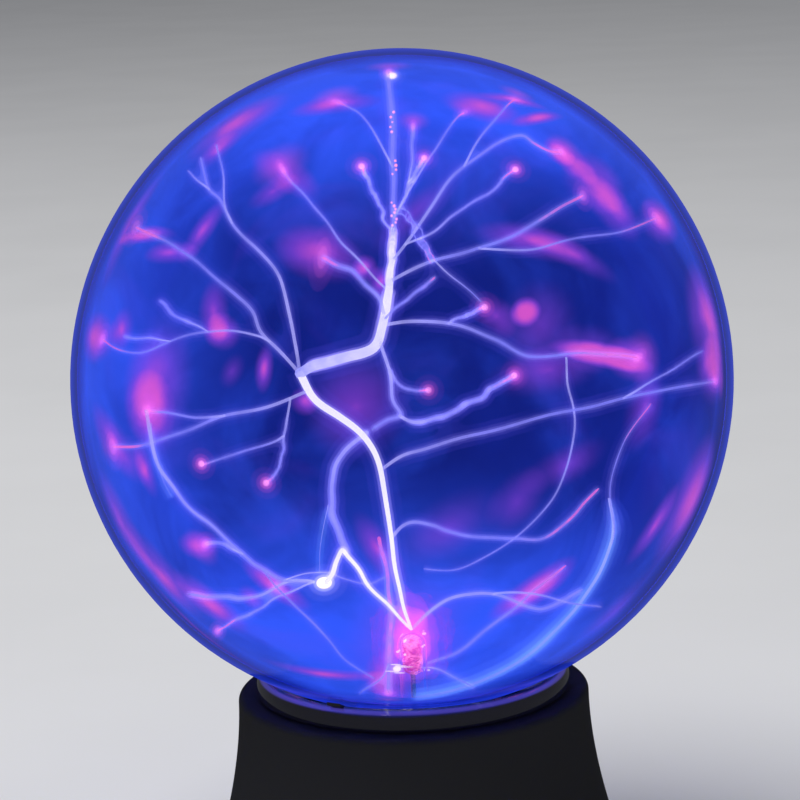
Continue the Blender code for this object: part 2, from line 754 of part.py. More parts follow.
def make_switch():
    """The three-position slide switch. Its knob runs along X between stops, and rests in the middle."""
    front = FACET_INNER_Y - GAP
    knob_half_x, knob_half_z = 0.0020, 0.0016
    half_length, height = 0.0075, 0.0080
    low, high = (SWITCH_X - half_length, 0.0475, PARTS_Z), (SWITCH_X + half_length, front, PARTS_Z + height)
    body = block("mode_switch_body", low, high, "steel")
    slot_x = knob_half_x + SWITCH_TRAVEL + 0.0005
    slot = block(
        "switch_body_slot",
        (SWITCH_X - slot_x, 0.0500, SWITCH_Z - 0.0020),
        (SWITCH_X + slot_x, 0.06, SWITCH_Z + 0.0020),
        None,
    )
    cut(body, slot)
    knob = block(
        "mode_switch_knob",
        (SWITCH_X - knob_half_x, 0.0505, SWITCH_Z - knob_half_z),
        (SWITCH_X + knob_half_x, FACET_Y + 0.0030, SWITCH_Z + knob_half_z),
        "satin_black",
    )
    for i in range(3):
        x = SWITCH_X + (i - 1) * 0.0012
        groove = block(
            f"knob_groove_{i + 1}",
            (x - 0.00025, FACET_Y + 0.0025, SWITCH_Z - 0.003),
            (x + 0.00025, FACET_Y + 0.004, SWITCH_Z + 0.003),
            None,
        )
        cut(knob, groove)


def make_microphone():
    """The capsule behind the hole in the facet, its rubber sleeve and its two leads."""
    front = FACET_INNER_Y - GAP
    capsule_front, capsule_back = front - 0.0012, front - 0.0062
    capsule_radius = 0.0029

    def behind_facet(y):
        return (0, y, MICROPHONE_Z)

    ends = behind_facet(capsule_back), behind_facet(capsule_front)
    rod("microphone", capsule_radius, *ends, "aluminium", "Y", 20)
    ends = behind_facet(front - 0.0056), behind_facet(front)
    sleeve = rod("microphone_sleeve", 0.0046, *ends, "grey_rubber", "Y", 20)
    ends = behind_facet(0.040), behind_facet(capsule_front + GAP)
    seat = rod("sleeve_seat", capsule_radius + GAP, *ends, None, "Y", 20)
    ends = behind_facet(0.040), behind_facet(0.060)
    window = rod("sleeve_window", 0.0016, *ends, None, "Y", 12)
    cut(sleeve, seat, window)
    for lead, (start_x, end_x) in enumerate(((0.0009, -0.0032), (-0.0009, -0.0050))):
        route = [
            (start_x, capsule_back - 0.0008, MICROPHONE_Z),
            (start_x - 0.0004, capsule_back - 0.0025, MICROPHONE_Z - 0.0006),
            (end_x + 0.0012, capsule_back - 0.0020, MICROPHONE_Z - 0.0060),
            (end_x, capsule_back + 0.0004, 0.0220),
            (end_x, 0.0500, PARTS_Z + 0.0005),
        ]
        wire(f"microphone_lead_{lead + 1}", route, 0.0005, ("red_silicone", "black_rubber")[lead])


def main():
    clear_scene()
    make_globe()
    make_electrode()
    make_collar()
    make_pads()
    make_neck_mounting()
    make_housing()
    make_cover()
    make_feet()
    make_board()
    make_transformer()
    make_driver_parts()
    make_jack()
    make_switch()
    make_microphone()


main()
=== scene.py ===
"""Plasma ball: a glass globe of glowing gas on a black plastic base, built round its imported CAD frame."""

import math
import random

import bpy
from bpy.props import FloatProperty, FloatVectorProperty, IntProperty, PointerProperty
from mathutils import Matrix, Vector, noise


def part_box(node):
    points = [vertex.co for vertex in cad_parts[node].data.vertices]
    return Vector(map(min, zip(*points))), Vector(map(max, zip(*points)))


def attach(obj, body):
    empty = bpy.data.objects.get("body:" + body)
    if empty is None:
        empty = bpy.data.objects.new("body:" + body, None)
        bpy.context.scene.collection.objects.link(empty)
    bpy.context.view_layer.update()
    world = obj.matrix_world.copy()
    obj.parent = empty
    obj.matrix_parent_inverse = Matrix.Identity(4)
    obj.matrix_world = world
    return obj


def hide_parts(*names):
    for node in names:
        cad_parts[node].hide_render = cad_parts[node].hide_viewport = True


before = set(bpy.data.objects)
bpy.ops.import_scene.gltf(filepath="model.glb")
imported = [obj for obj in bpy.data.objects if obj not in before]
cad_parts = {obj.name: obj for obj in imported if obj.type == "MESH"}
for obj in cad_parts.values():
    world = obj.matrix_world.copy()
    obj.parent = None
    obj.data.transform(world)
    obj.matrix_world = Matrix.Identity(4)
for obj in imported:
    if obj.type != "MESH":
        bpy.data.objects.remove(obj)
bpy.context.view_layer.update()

bl_info = {
    "name": "Plasma Ball",
    "version": (1, 0, 0),
    "blender": (4, 5, 0),
    "location": "3D View > Sidebar > Plasma Ball",
    "description": "Models a plasma ball: globe, discharge, electrode, collar, base and its fittings",
    "category": "Object",
}

GAP = 0.0003
GLOBE_LOW, GLOBE_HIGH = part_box("glass_globe")
GLOBE_RADIUS = (GLOBE_HIGH.x - GLOBE_LOW.x) / 2
GLOBE_CENTRE = Vector((0, 0, GLOBE_HIGH.z - GLOBE_RADIUS))
NECK_BOTTOM_Z = GLOBE_LOW.z
GLASS_WALL = 0.002
NECK_RADIUS, NECK_FILLET = 0.020, 0.005
GAS_RADIUS = GLOBE_RADIUS - GLASS_WALL - GAP
ELECTRODE_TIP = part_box("electrode_tube")[1].z
ELECTRODE_RADIUS, ELECTRODE_WALL = 0.0046, 0.001
DECK_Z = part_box("base_housing")[1].z
BASE_BOTTOM_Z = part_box("base_housing")[0].z
DECK_RADIUS, DECK_FILLET, DECK_HOLE_RADIUS = 0.055, 0.002, 0.038
FOOT_FLARE_RADIUS, FLARE_POWER, HOUSING_WALL = 0.074, 1.8, 0.0025
FACET_Y = 0.058
FACET_INNER_Y = FACET_Y - HOUSING_WALL
LIP_CENTRE, LIP_ROUND, DISH_OFFSET = (0.0444, 0.0827), 0.0048, 0.0014
SKIRT_OUTER, SKIRT_INNER = 0.0376, 0.0356
PAD_WIDTH = 0.0046
BOARD_TOP_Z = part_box("circuit_board")[1].z
REACH = 0.2

# The discharge is drawn as it is looked at: right, up and away, with a slight tilt and lean.
LOOK_DOWN, LEAN = math.radians(11.0), math.radians(-2.14)
LOOK_DISTANCE = 0.9
AWAY = Vector((0, math.cos(LOOK_DOWN), -math.sin(LOOK_DOWN)))
LEVEL_UP = Vector((0, math.sin(LOOK_DOWN), math.cos(LOOK_DOWN)))
RIGHT = Vector((1, 0, 0)) * math.cos(LEAN) + LEVEL_UP * math.sin(LEAN)
UP = LEVEL_UP * math.cos(LEAN) - Vector((1, 0, 0)) * math.sin(LEAN)

# ---------------------------------------------------------------- settings


class GlobeSettings(bpy.types.PropertyGroup):
    tint: FloatVectorProperty(
        name="Glass tint", description="Colour of the clear glass", subtype="COLOR", size=3,
        min=0, max=1, default=(0.97, 0.98, 1.0),
    )
    ripple: FloatProperty(
        name="Ripple", description="Height of the blown glass's slow waves", default=0.00002,
        min=0, unit="LENGTH", precision=5,
    )
    refraction: FloatProperty(
        name="Refraction", description="Refractive index of the glass", default=1.25, min=1, max=2
    )


class DischargeSettings(bpy.types.PropertyGroup):
    deep: FloatVectorProperty(
        name="Deep glow", description="Gas colour through the middle of the globe", subtype="COLOR",
        size=3, min=0, max=1, default=(0.002, 0.005, 0.09),
    )
    bright: FloatVectorProperty(
        name="Bright glow", description="Gas colour at the top and the foot of the globe",
        subtype="COLOR", size=3, min=0, max=1, default=(0.030, 0.095, 0.86),
    )
    violet: FloatVectorProperty(
        name="Violet haze", description="Colour of the haze round the streamers", subtype="COLOR",
        size=3, min=0, max=1, default=(0.20, 0.06, 0.80),
    )
    streamer: FloatVectorProperty(
        name="Streamer", description="Colour of a streamer's hot middle", subtype="COLOR", size=3,
        min=0, max=1, default=(0.80, 0.76, 1.0),
    )
    pink: FloatVectorProperty(
        name="Tips", description="Colour of a streamer where it touches the glass",
        subtype="COLOR", size=3, min=0, max=1, default=(1.0, 0.14, 0.52),
    )
    seed: IntProperty(name="Seed", description="Seed of the streamers' small wanderings", default=7)


class BaseSettings(bpy.types.PropertyGroup):
    collar: FloatVectorProperty(
        name="Collar", description="Colour of the glossy collar", subtype="COLOR", size=3, min=0,
        max=1, default=(0.012, 0.012, 0.014),
    )
    housing: FloatVectorProperty(
        name="Housing", description="Colour of the satin base", subtype="COLOR", size=3, min=0,
        max=1, default=(0.020, 0.020, 0.022),
    )
    segments: IntProperty(
        name="Segments", description="Steps in one turn of the large round pieces", default=128,
        min=24, max=256,
    )


class StageSettings(bpy.types.PropertyGroup):
    floor: FloatVectorProperty(
        name="Floor", description="Colour of the plain floor", subtype="COLOR", size=3, min=0, max=1,
        default=(0.80, 0.80, 0.81),
    )
    sky: FloatProperty(
        name="Room light", description="Strength of the even light", default=0.24, min=0
    )
    lamp: FloatProperty(
        name="Soft box", description="Power of the large soft light", default=105, min=0, unit="POWER"
    )
    lens: FloatProperty(
        name="Lens", description="Focal length in millimetres", default=131.5, min=1
    )


class PlasmaBallSettings(bpy.types.PropertyGroup):
    globe: PointerProperty(type=GlobeSettings, name="Globe")
    discharge: PointerProperty(type=DischargeSettings, name="Discharge")
    base: PointerProperty(type=BaseSettings, name="Base")
    stage: PointerProperty(type=StageSettings, name="Stage")


def settings():
    return bpy.context.scene.plasma_ball


# ---------------------------------------------------------------- modelling


def clear_selection():
    bpy.ops.object.select_all(action="DESELECT")


def choose(piece):
    clear_selection()
    piece.select_set(True)
    bpy.context.view_layer.objects.active = piece


def name_piece(name):
    piece = bpy.context.object
    piece.name = piece.data.name = name
    return piece


def arc(centre, radius, start, end, steps):
    """Points of (radius, height) along an arc, its angles in degrees."""
    turns = [math.radians(start + (end - start) * i / steps) for i in range(steps + 1)]
    return [(centre[0] + radius * math.cos(a), centre[1] + radius * math.sin(a)) for a in turns]


def turned(name, outline, steps=64, place=(0, 0)):
    """Draws an outline of (radius, height) with extrusions and spins it round an upright axis."""
    clear_selection()
    bpy.ops.mesh.primitive_plane_add(size=0.01, location=(place[0], place[1], 0))
    piece = name_piece(name)
    bpy.ops.object.mode_set(mode="EDIT")
    bpy.ops.mesh.select_mode(type="VERT")
    bpy.ops.mesh.select_all(action="SELECT")
    bpy.ops.mesh.merge(type="CENTER")
    bpy.ops.transform.translate(value=(outline[0][0], 0, outline[0][1]))
    for (r0, z0), (r1, z1) in zip(outline, outline[1:]):
        bpy.ops.mesh.extrude_region_move(TRANSFORM_OT_translate={"value": (r1 - r0, 0, z1 - z0)})
    bpy.ops.mesh.select_all(action="SELECT")
    bpy.ops.mesh.spin(steps=steps, angle=math.tau, center=(*place, 0), axis=(0, 0, 1))
    bpy.ops.mesh.select_all(action="SELECT")
    bpy.ops.mesh.remove_doubles(threshold=0.000002)
    bpy.ops.mesh.normals_make_consistent(inside=False)
    bpy.ops.object.mode_set(mode="OBJECT")
    return piece


def block(name, low, high):
    """A cutter or a start: a box between two corners."""
    clear_selection()
    size = [b - a for a, b in zip(low, high)]
    middle = [(a + b) / 2 for a, b in zip(low, high)]
    bpy.ops.mesh.primitive_cube_add(size=1, location=middle, scale=size)
    return name_piece(name)


def rod(name, radius, low, high, axis="Z", sides=32):
    """A cutter or a start: a cylinder between two points along one axis."""
    clear_selection()
    turn = {"X": (0, math.pi / 2, 0), "Y": (math.pi / 2, 0, 0), "Z": (0, 0, 0)}[axis]
    bpy.ops.mesh.primitive_cylinder_add(
        vertices=sides, radius=radius, depth=sum(abs(b - a) for a, b in zip(low, high)),
        location=[(a + b) / 2 for a, b in zip(low, high)], rotation=turn,
    )
    return name_piece(name)


def turn_about_axis(piece, angle):
    """Carries a piece round the globe's upright axis by an angle in degrees."""
    piece.matrix_world = Matrix.Rotation(math.radians(angle), 4, "Z") @ piece.matrix_basis


def use_modifier(piece, kind, **values):
    choose(piece)
    step = piece.modifiers.new(kind.lower(), kind)
    for key, value in values.items():
        setattr(step, key, value)
    bpy.ops.object.modifier_apply(modifier=step.name)
    return piece


def combine(piece, other, operation="DIFFERENCE"):
    use_modifier(piece, "BOOLEAN", object=other, operation=operation)
    bpy.data.objects.remove(other)
    return piece


def join(pieces, name):
    clear_selection()
    for piece in pieces:
        piece.select_set(True)
    bpy.context.view_layer.objects.active = pieces[0]
    bpy.ops.object.join()
    return name_piece(name)


def soften(piece, width, segments=2):
    """Rounds the sharp edges."""
    return use_modifier(
        piece, "BEVEL", width=width, segments=segments, limit_method="ANGLE",
        angle_limit=math.radians(42),
    )


def settle(piece, material, stands_for=(), body="lamp", crease=38):
    """Puts the piece's place in its mesh, shades it, and hangs it on its CAD body."""
    choose(piece)
    bpy.ops.object.transform_apply(location=True, rotation=True, scale=True)
    bpy.ops.object.shade_smooth_by_angle(angle=math.radians(crease))
    piece.data.materials.clear()
    piece.data.materials.append(material)
    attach(piece, body)
    if stands_for:
        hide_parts(*stands_for)
    return piece


def around(angle, radius):
    return radius * math.cos(math.radians(angle)), radius * math.sin(math.radians(angle))


def refined(node, material, bevel=0.0002, body="lamp"):
    """A copy of a CAD node with merged faces and fine rounded edges, which stands for the node."""
    piece = bpy.data.objects.new(node + "_piece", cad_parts[node].data.copy())
    bpy.context.scene.collection.objects.link(piece)
    choose(piece)
    bpy.ops.mesh.customdata_custom_splitnormals_clear()
    bpy.ops.object.mode_set(mode="EDIT")
    bpy.ops.mesh.select_all(action="SELECT")
    bpy.ops.mesh.remove_doubles(threshold=0.000002)
    bpy.ops.mesh.dissolve_limited(angle_limit=math.radians(1))
    bpy.ops.object.mode_set(mode="OBJECT")
    if bevel:
        soften(piece, bevel)
    return settle(piece, material, (node,), body)


def smooth_route(points, steps):
    """A smooth line through points."""
    padded = [2 * points[0] - points[1], *points, 2 * points[-1] - points[-2]]
    line = []
    for i in range(len(points) - 1):
        p0, p1, p2, p3 = padded[i : i + 4]
        for k in range(steps):
            t = k / steps
            line.append(
                0.5 * (2 * p1 + (p2 - p0) * t + (2 * p0 - 5 * p1 + 4 * p2 - p3) * t**2
                       + (3 * p1 - p0 - 3 * p2 + p3) * t**3)
            )
    return [*line, points[-1]]


def tube(name, line, radii, fineness=2, shares=(0, 1)):
    """A round tube along a line, with a radius at every point, and its share along as an attribute."""
    clear_selection()
    bpy.ops.curve.primitive_nurbs_path_add(radius=0.01, location=(0, 0, 0))
    piece = name_piece(name)
    path = piece.data
    path.splines.clear()
    spline = path.splines.new("POLY")
    spline.points.add(len(line) - 1)
    for point, place, radius in zip(spline.points, line, radii):
        point.co = (*place, 1)
        point.radius = radius
    path.bevel_depth = 1
    path.bevel_resolution = fineness
    path.use_fill_caps = True
    bpy.ops.object.convert(target="MESH")
    piece = name_piece(name)
    ring = len(piece.data.vertices) // len(line)
    share = piece.data.attributes.new("share", "FLOAT", "POINT")
    for i, value in enumerate(share.data):
        value.value = shares[0] + (shares[1] - shares[0]) * (i // ring) / (len(line) - 1)
    return piece


# ---------------------------------------------------------------- materials


def new_material(name):
    material = bpy.data.materials.new(name)
    material.use_nodes = True
    tree = material.node_tree
    return material, tree, tree.nodes["Principled BSDF"]


def add_node(tree, kind, inputs=(), **values):
    """Adds a node, sets its settings, and links or sets its inputs."""
    made = tree.nodes.new("ShaderNode" + kind)
    for key, value in values.items():
        setattr(made, key, value)
    for socket, value in dict(inputs).items():
        if isinstance(value, bpy.types.NodeSocket):
            tree.links.new(value, made.inputs[socket])
        else:
            made.inputs[socket].default_value = value
    return made


def object_place(tree, scale=(1, 1, 1), location=(0, 0, 0)):
    """Object coordinates, moved and stretched."""
    source = add_node(tree, "TexCoord").outputs["Object"]
    return add_node(
        tree, "Mapping", {"Vector": source, "Scale": scale, "Location": location}
    ).outputs["Vector"]


def ramp(tree, value, low, high, to_low=0.0, to_high=1.0, smooth=True):
    return add_node(
        tree, "MapRange",
        {"Value": value, "From Min": low, "From Max": high, "To Min": to_low, "To Max": to_high},
        interpolation_type="SMOOTHSTEP" if smooth else "LINEAR",
    ).outputs["Result"]


def blend_colour(tree, factor, first, second):
    return add_node(
        tree, "Mix", {0: factor, 6: first, 7: second}, data_type="RGBA"
    ).outputs[2]


def opaque(colour):
    return (*colour, 1.0)


def finish(name, colour, worn, roughness, grain, relief, metallic=0.0, spread=0.08,
           stretch=(1, 1, 1), broad=40.0, coat=0.0, dust=0.35):
    """A solid finish: broad colour change, fine grain in gloss and relief."""
    material, tree, surface = new_material(name)
    place = object_place(tree, stretch)
    fine = add_node(
        tree, "TexNoise", {"Vector": place, "Scale": grain, "Detail": 6.0, "Roughness": 0.6}
    ).outputs["Fac"]
    slow = add_node(
        tree, "TexNoise", {"Vector": place, "Scale": broad, "Detail": 3.0}
    ).outputs["Fac"]
    wear = ramp(tree, slow, 0.5, 0.8, 0.0, dust)
    colour_socket = blend_colour(tree, wear, opaque(colour), opaque(worn))
    tree.links.new(colour_socket, surface.inputs["Base Color"])
    gloss = ramp(tree, fine, 0.3, 0.7, roughness - spread, roughness + spread)
    tree.links.new(gloss, surface.inputs["Roughness"])
    bump = add_node(tree, "Bump", {"Height": fine, "Distance": relief, "Strength": 0.6})
    tree.links.new(bump.outputs["Normal"], surface.inputs["Normal"])
    surface.inputs["Metallic"].default_value = metallic
    surface.inputs["Coat Weight"].default_value = coat
    surface.inputs["Coat Roughness"].default_value = 0.06
    return material


def kept(name, maker):
    """One material of each name, made when it is first asked for."""
    return bpy.data.materials.get(name) or maker()


FINISHES = {
    "satin_plastic": dict(colour=(0.020, 0.020, 0.022), worn=(0.045, 0.045, 0.048), roughness=0.42,
                          grain=2600, relief=0.00004, spread=0.07),
    "knob_plastic": dict(colour=(0.025, 0.025, 0.027), worn=(0.06, 0.06, 0.06), roughness=0.5,
                         grain=3200, relief=0.00003),
    "socket_plastic": dict(colour=(0.015, 0.015, 0.016), worn=(0.04, 0.04, 0.042), roughness=0.35,
                           grain=3000, relief=0.00002),
    "rubber": dict(colour=(0.030, 0.030, 0.031), worn=(0.075, 0.073, 0.070), roughness=0.78,
                   grain=2200, relief=0.00005, spread=0.1),
    "silicone": dict(colour=(0.42, 0.030, 0.022), worn=(0.52, 0.07, 0.05), roughness=0.48,
                     grain=1800, relief=0.00002),
    "lead_red": dict(colour=(0.50, 0.02, 0.015), worn=(0.6, 0.06, 0.05), roughness=0.42,
                     grain=2400, relief=0.00002),
    "lead_black": dict(colour=(0.02, 0.02, 0.02), worn=(0.06, 0.06, 0.06), roughness=0.45,
                       grain=2400, relief=0.00002),
    "zinc_steel": dict(colour=(0.56, 0.57, 0.58), worn=(0.40, 0.40, 0.39), roughness=0.32,
                       grain=900, relief=0.00001, metallic=1.0, broad=160, dust=0.7),
    "screw_steel": dict(colour=(0.50, 0.50, 0.50), worn=(0.30, 0.29, 0.28), roughness=0.28,
                        grain=2200, relief=0.00001, metallic=1.0, broad=300, dust=0.6),
    "brass": dict(colour=(0.75, 0.52, 0.20), worn=(0.45, 0.30, 0.12), roughness=0.26, grain=1500,
                  relief=0.00001, metallic=1.0, broad=220, dust=0.6),
    "brushed_aluminium": dict(colour=(0.74, 0.75, 0.76), worn=(0.58, 0.59, 0.60), roughness=0.36,
                              grain=420, relief=0.00002, metallic=1.0, stretch=(6, 6, 0.3)),
    "ferrite": dict(colour=(0.055, 0.056, 0.060), worn=(0.12, 0.12, 0.12), roughness=0.55,
                    grain=3500, relief=0.00006, broad=700, dust=0.6),
    "bobbin_nylon": dict(colour=(0.70, 0.66, 0.55), worn=(0.55, 0.50, 0.38), roughness=0.45,
                         grain=1600, relief=0.00003),
    "enamelled_copper": dict(colour=(0.52, 0.18, 0.06), worn=(0.68, 0.30, 0.10), roughness=0.26,
                             grain=900, relief=0.00001, metallic=1.0, broad=500, coat=0.4),
    "chip_epoxy": dict(colour=(0.018, 0.018, 0.019), worn=(0.05, 0.05, 0.05), roughness=0.6,
                       grain=5200, relief=0.00003),
    "capacitor_sleeve": dict(colour=(0.010, 0.020, 0.075), worn=(0.02, 0.035, 0.11), roughness=0.3,
                             grain=1200, relief=0.00001),
}


def made_finish(name):
    return kept(name, lambda: finish(name, **FINISHES[name]))


def collar_gloss_and_painted_reflection():
    """Glossy moulded plastic with faint handling marks, and a painted reflection of the globe's glow: a band of blue
    emission round the upper part of the lip's round, with faint blue emission over the rest.
    """
    colour = tuple(settings().base.collar)
    material = finish(
        "collar_gloss", colour, tuple(2 * c for c in colour), 0.06, 300, 0.000001, spread=0.02,
        coat=1.0, broad=60, dust=0.3,
    )
    tree = material.node_tree
    surface = tree.nodes["Principled BSDF"]
    surface.inputs["Coat IOR"].default_value = 2.0
    # Painted reflection: blue emission in a band round the lip's upper round stands for the globe's glow reflected in
    # the gloss.
    surface.inputs["Emission Color"].default_value = (0.16, 0.12, 1.0, 1.0)
    height = add_node(tree, "SeparateXYZ", {"Vector": object_place(tree)}).outputs["Z"]
    low, high = LIP_CENTRE[1], LIP_CENTRE[1] + LIP_ROUND
    rising = ramp(tree, height, low + (high - low) * 0.50, low + (high - low) * 0.70)
    falling = ramp(tree, height, low + (high - low) * 0.72, low + (high - low) * 0.90, 1.0, 0.0)
    glow = add_node(tree, "Math", {0: rising, 1: falling}, operation="MULTIPLY").outputs[0]
    tree.links.new(ramp(tree, glow, 0.0, 1.0, 0.004, 0.34), surface.inputs["Emission Strength"])
    quiet(material)
    return material


def board_finish():
    """Green solder mask over copper tracks, with bare pads and glass weave."""
    material, tree, surface = new_material("board_laminate")
    place = object_place(tree)
    tracks = add_node(
        tree, "TexBrick",
        {"Vector": object_place(tree, (1, 1, 1)), "Scale": 160.0, "Mortar Size": 0.06,
         "Color1": (0, 0, 0, 1), "Color2": (0.25, 0.25, 0.25, 1), "Mortar": (1, 1, 1, 1)},
    ).outputs["Color"]
    islands = add_node(
        tree, "TexVoronoi", {"Vector": place, "Scale": 240.0}, feature="F1"
    ).outputs["Distance"]
    pads = ramp(tree, islands, 0.22, 0.18)
    weave = add_node(tree, "TexNoise", {"Vector": place, "Scale": 1500.0, "Detail": 2.0}).outputs["Fac"]
    mask = blend_colour(tree, tracks, (0.008, 0.085, 0.030, 1), (0.018, 0.150, 0.055, 1))
    colour = blend_colour(tree, pads, mask, (0.62, 0.62, 0.60, 1))
    tree.links.new(colour, surface.inputs["Base Color"])
    tree.links.new(ramp(tree, weave, 0.3, 0.7, 0.28, 0.42), surface.inputs["Roughness"])
    bump = add_node(tree, "Bump", {"Height": tracks, "Distance": 0.00005, "Strength": 0.7})
    tree.links.new(bump.outputs["Normal"], surface.inputs["Normal"])
    return material


def globe_glass(name, ripple, scale, rim=None):
    """Clear blown glass with slow waves. Given a rim colour, it has a painted glow at its rim: seen edge-on, the
    glass turns to that colour and gives off blue light, standing for the gas's light there.
    """
    look = settings().globe
    material, tree, surface = new_material(name)
    surface.inputs["Transmission Weight"].default_value = 1.0
    surface.inputs["IOR"].default_value = look.refraction
    place = object_place(tree)
    wave = add_node(tree, "TexNoise", {"Vector": place, "Scale": scale, "Detail": 1.0}).outputs["Fac"]
    surface.inputs["Roughness"].default_value = 0.0
    tint = blend_colour(tree, ramp(tree, wave, 0.3, 0.7), opaque(look.tint), (1, 1, 1, 1))
    if rim:
        # Painted glow: where the glass is seen edge-on it is tinted to the rim colour and given a blue emission.
        edge = add_node(tree, "LayerWeight", {"Blend": 0.5}).outputs["Facing"]
        tint = blend_colour(tree, ramp(tree, edge, 0.66, 0.86), tint, opaque(rim))
        surface.inputs["Emission Color"].default_value = (0.020, 0.060, 1.0, 1.0)
        tree.links.new(ramp(tree, edge, 0.70, 0.92, 0.0, 0.42), surface.inputs["Emission Strength"])
        quiet(material)
    tree.links.new(tint, surface.inputs["Base Color"])
    bump = add_node(tree, "Bump", {"Height": wave, "Distance": ripple, "Strength": 1.0})
    tree.links.new(bump.outputs["Normal"], surface.inputs["Normal"])
    return material


def glowing_gas(name, colour, strength, skin, scale=60.0):
    """Gas that glows all through, with a faint uneven skin of the same colour."""
    material, tree, surface = new_material(name)
    tree.nodes.remove(surface)
    output = tree.nodes["Material Output"]
    clouds = add_node(
        tree, "TexNoise", {"Vector": object_place(tree), "Scale": scale, "Detail": 3.0}
    ).outputs["Fac"]
    clear = add_node(tree, "BsdfTransparent").outputs["BSDF"]
    shine = add_node(tree, "Emission", {"Color": opaque(colour)}).outputs["Emission"]
    veil = add_node(
        tree, "MixShader", {0: ramp(tree, clouds, 0.35, 0.7, 0.0, skin), 1: clear, 2: shine}
    ).outputs["Shader"]
    tree.links.new(veil, output.inputs["Surface"])
    depth = add_node(tree, "Emission", {"Color": opaque(colour), "Strength": strength})
    tree.links.new(depth.outputs["Emission"], output.inputs["Volume"])
    quiet(material)
    return material


def quiet(material):
    """Leaves the many small glowing faces out of the light sampling, which keeps the picture clean."""
    material.cycles.emission_sampling = "NONE"


def streamer_glow(name, root, middle, tip, hold):
    """A streamer's core: hot at its root, then violet, then pink, uneven along its length."""
    material, tree, surface = new_material(name)
    tree.nodes.remove(surface)
    share = add_node(tree, "Attribute", attribute_name="share").outputs["Fac"]
    flicker = add_node(
        tree, "TexNoise", {"Vector": object_place(tree), "Scale": 130.0, "Detail": 3.0}
    ).outputs["Fac"]
    wander = add_node(tree, "Math", {0: flicker, 1: 0.30, 2: -0.15}, operation="MULTIPLY_ADD").outputs[0]
    along = add_node(tree, "Math", {0: share, 1: wander}, operation="ADD").outputs[0]
    first = blend_colour(tree, ramp(tree, along, 0.0, 0.55), opaque(root), opaque(middle))
    colour = blend_colour(tree, ramp(tree, along, 0.78, 1.0), first, opaque(tip))
    shine = add_node(tree, "Emission", {"Color": colour}).outputs["Emission"]
    clear = add_node(tree, "BsdfTransparent").outputs["BSDF"]
    body = ramp(tree, flicker, 0.3, 0.7, hold - 0.15, hold + 0.1)
    mixed = add_node(tree, "MixShader", {0: body, 1: clear, 2: shine}).outputs["Shader"]
    tree.links.new(mixed, tree.nodes["Material Output"].inputs["Surface"])
    quiet(material)
    return material


# ---------------------------------------------------------------- discharge

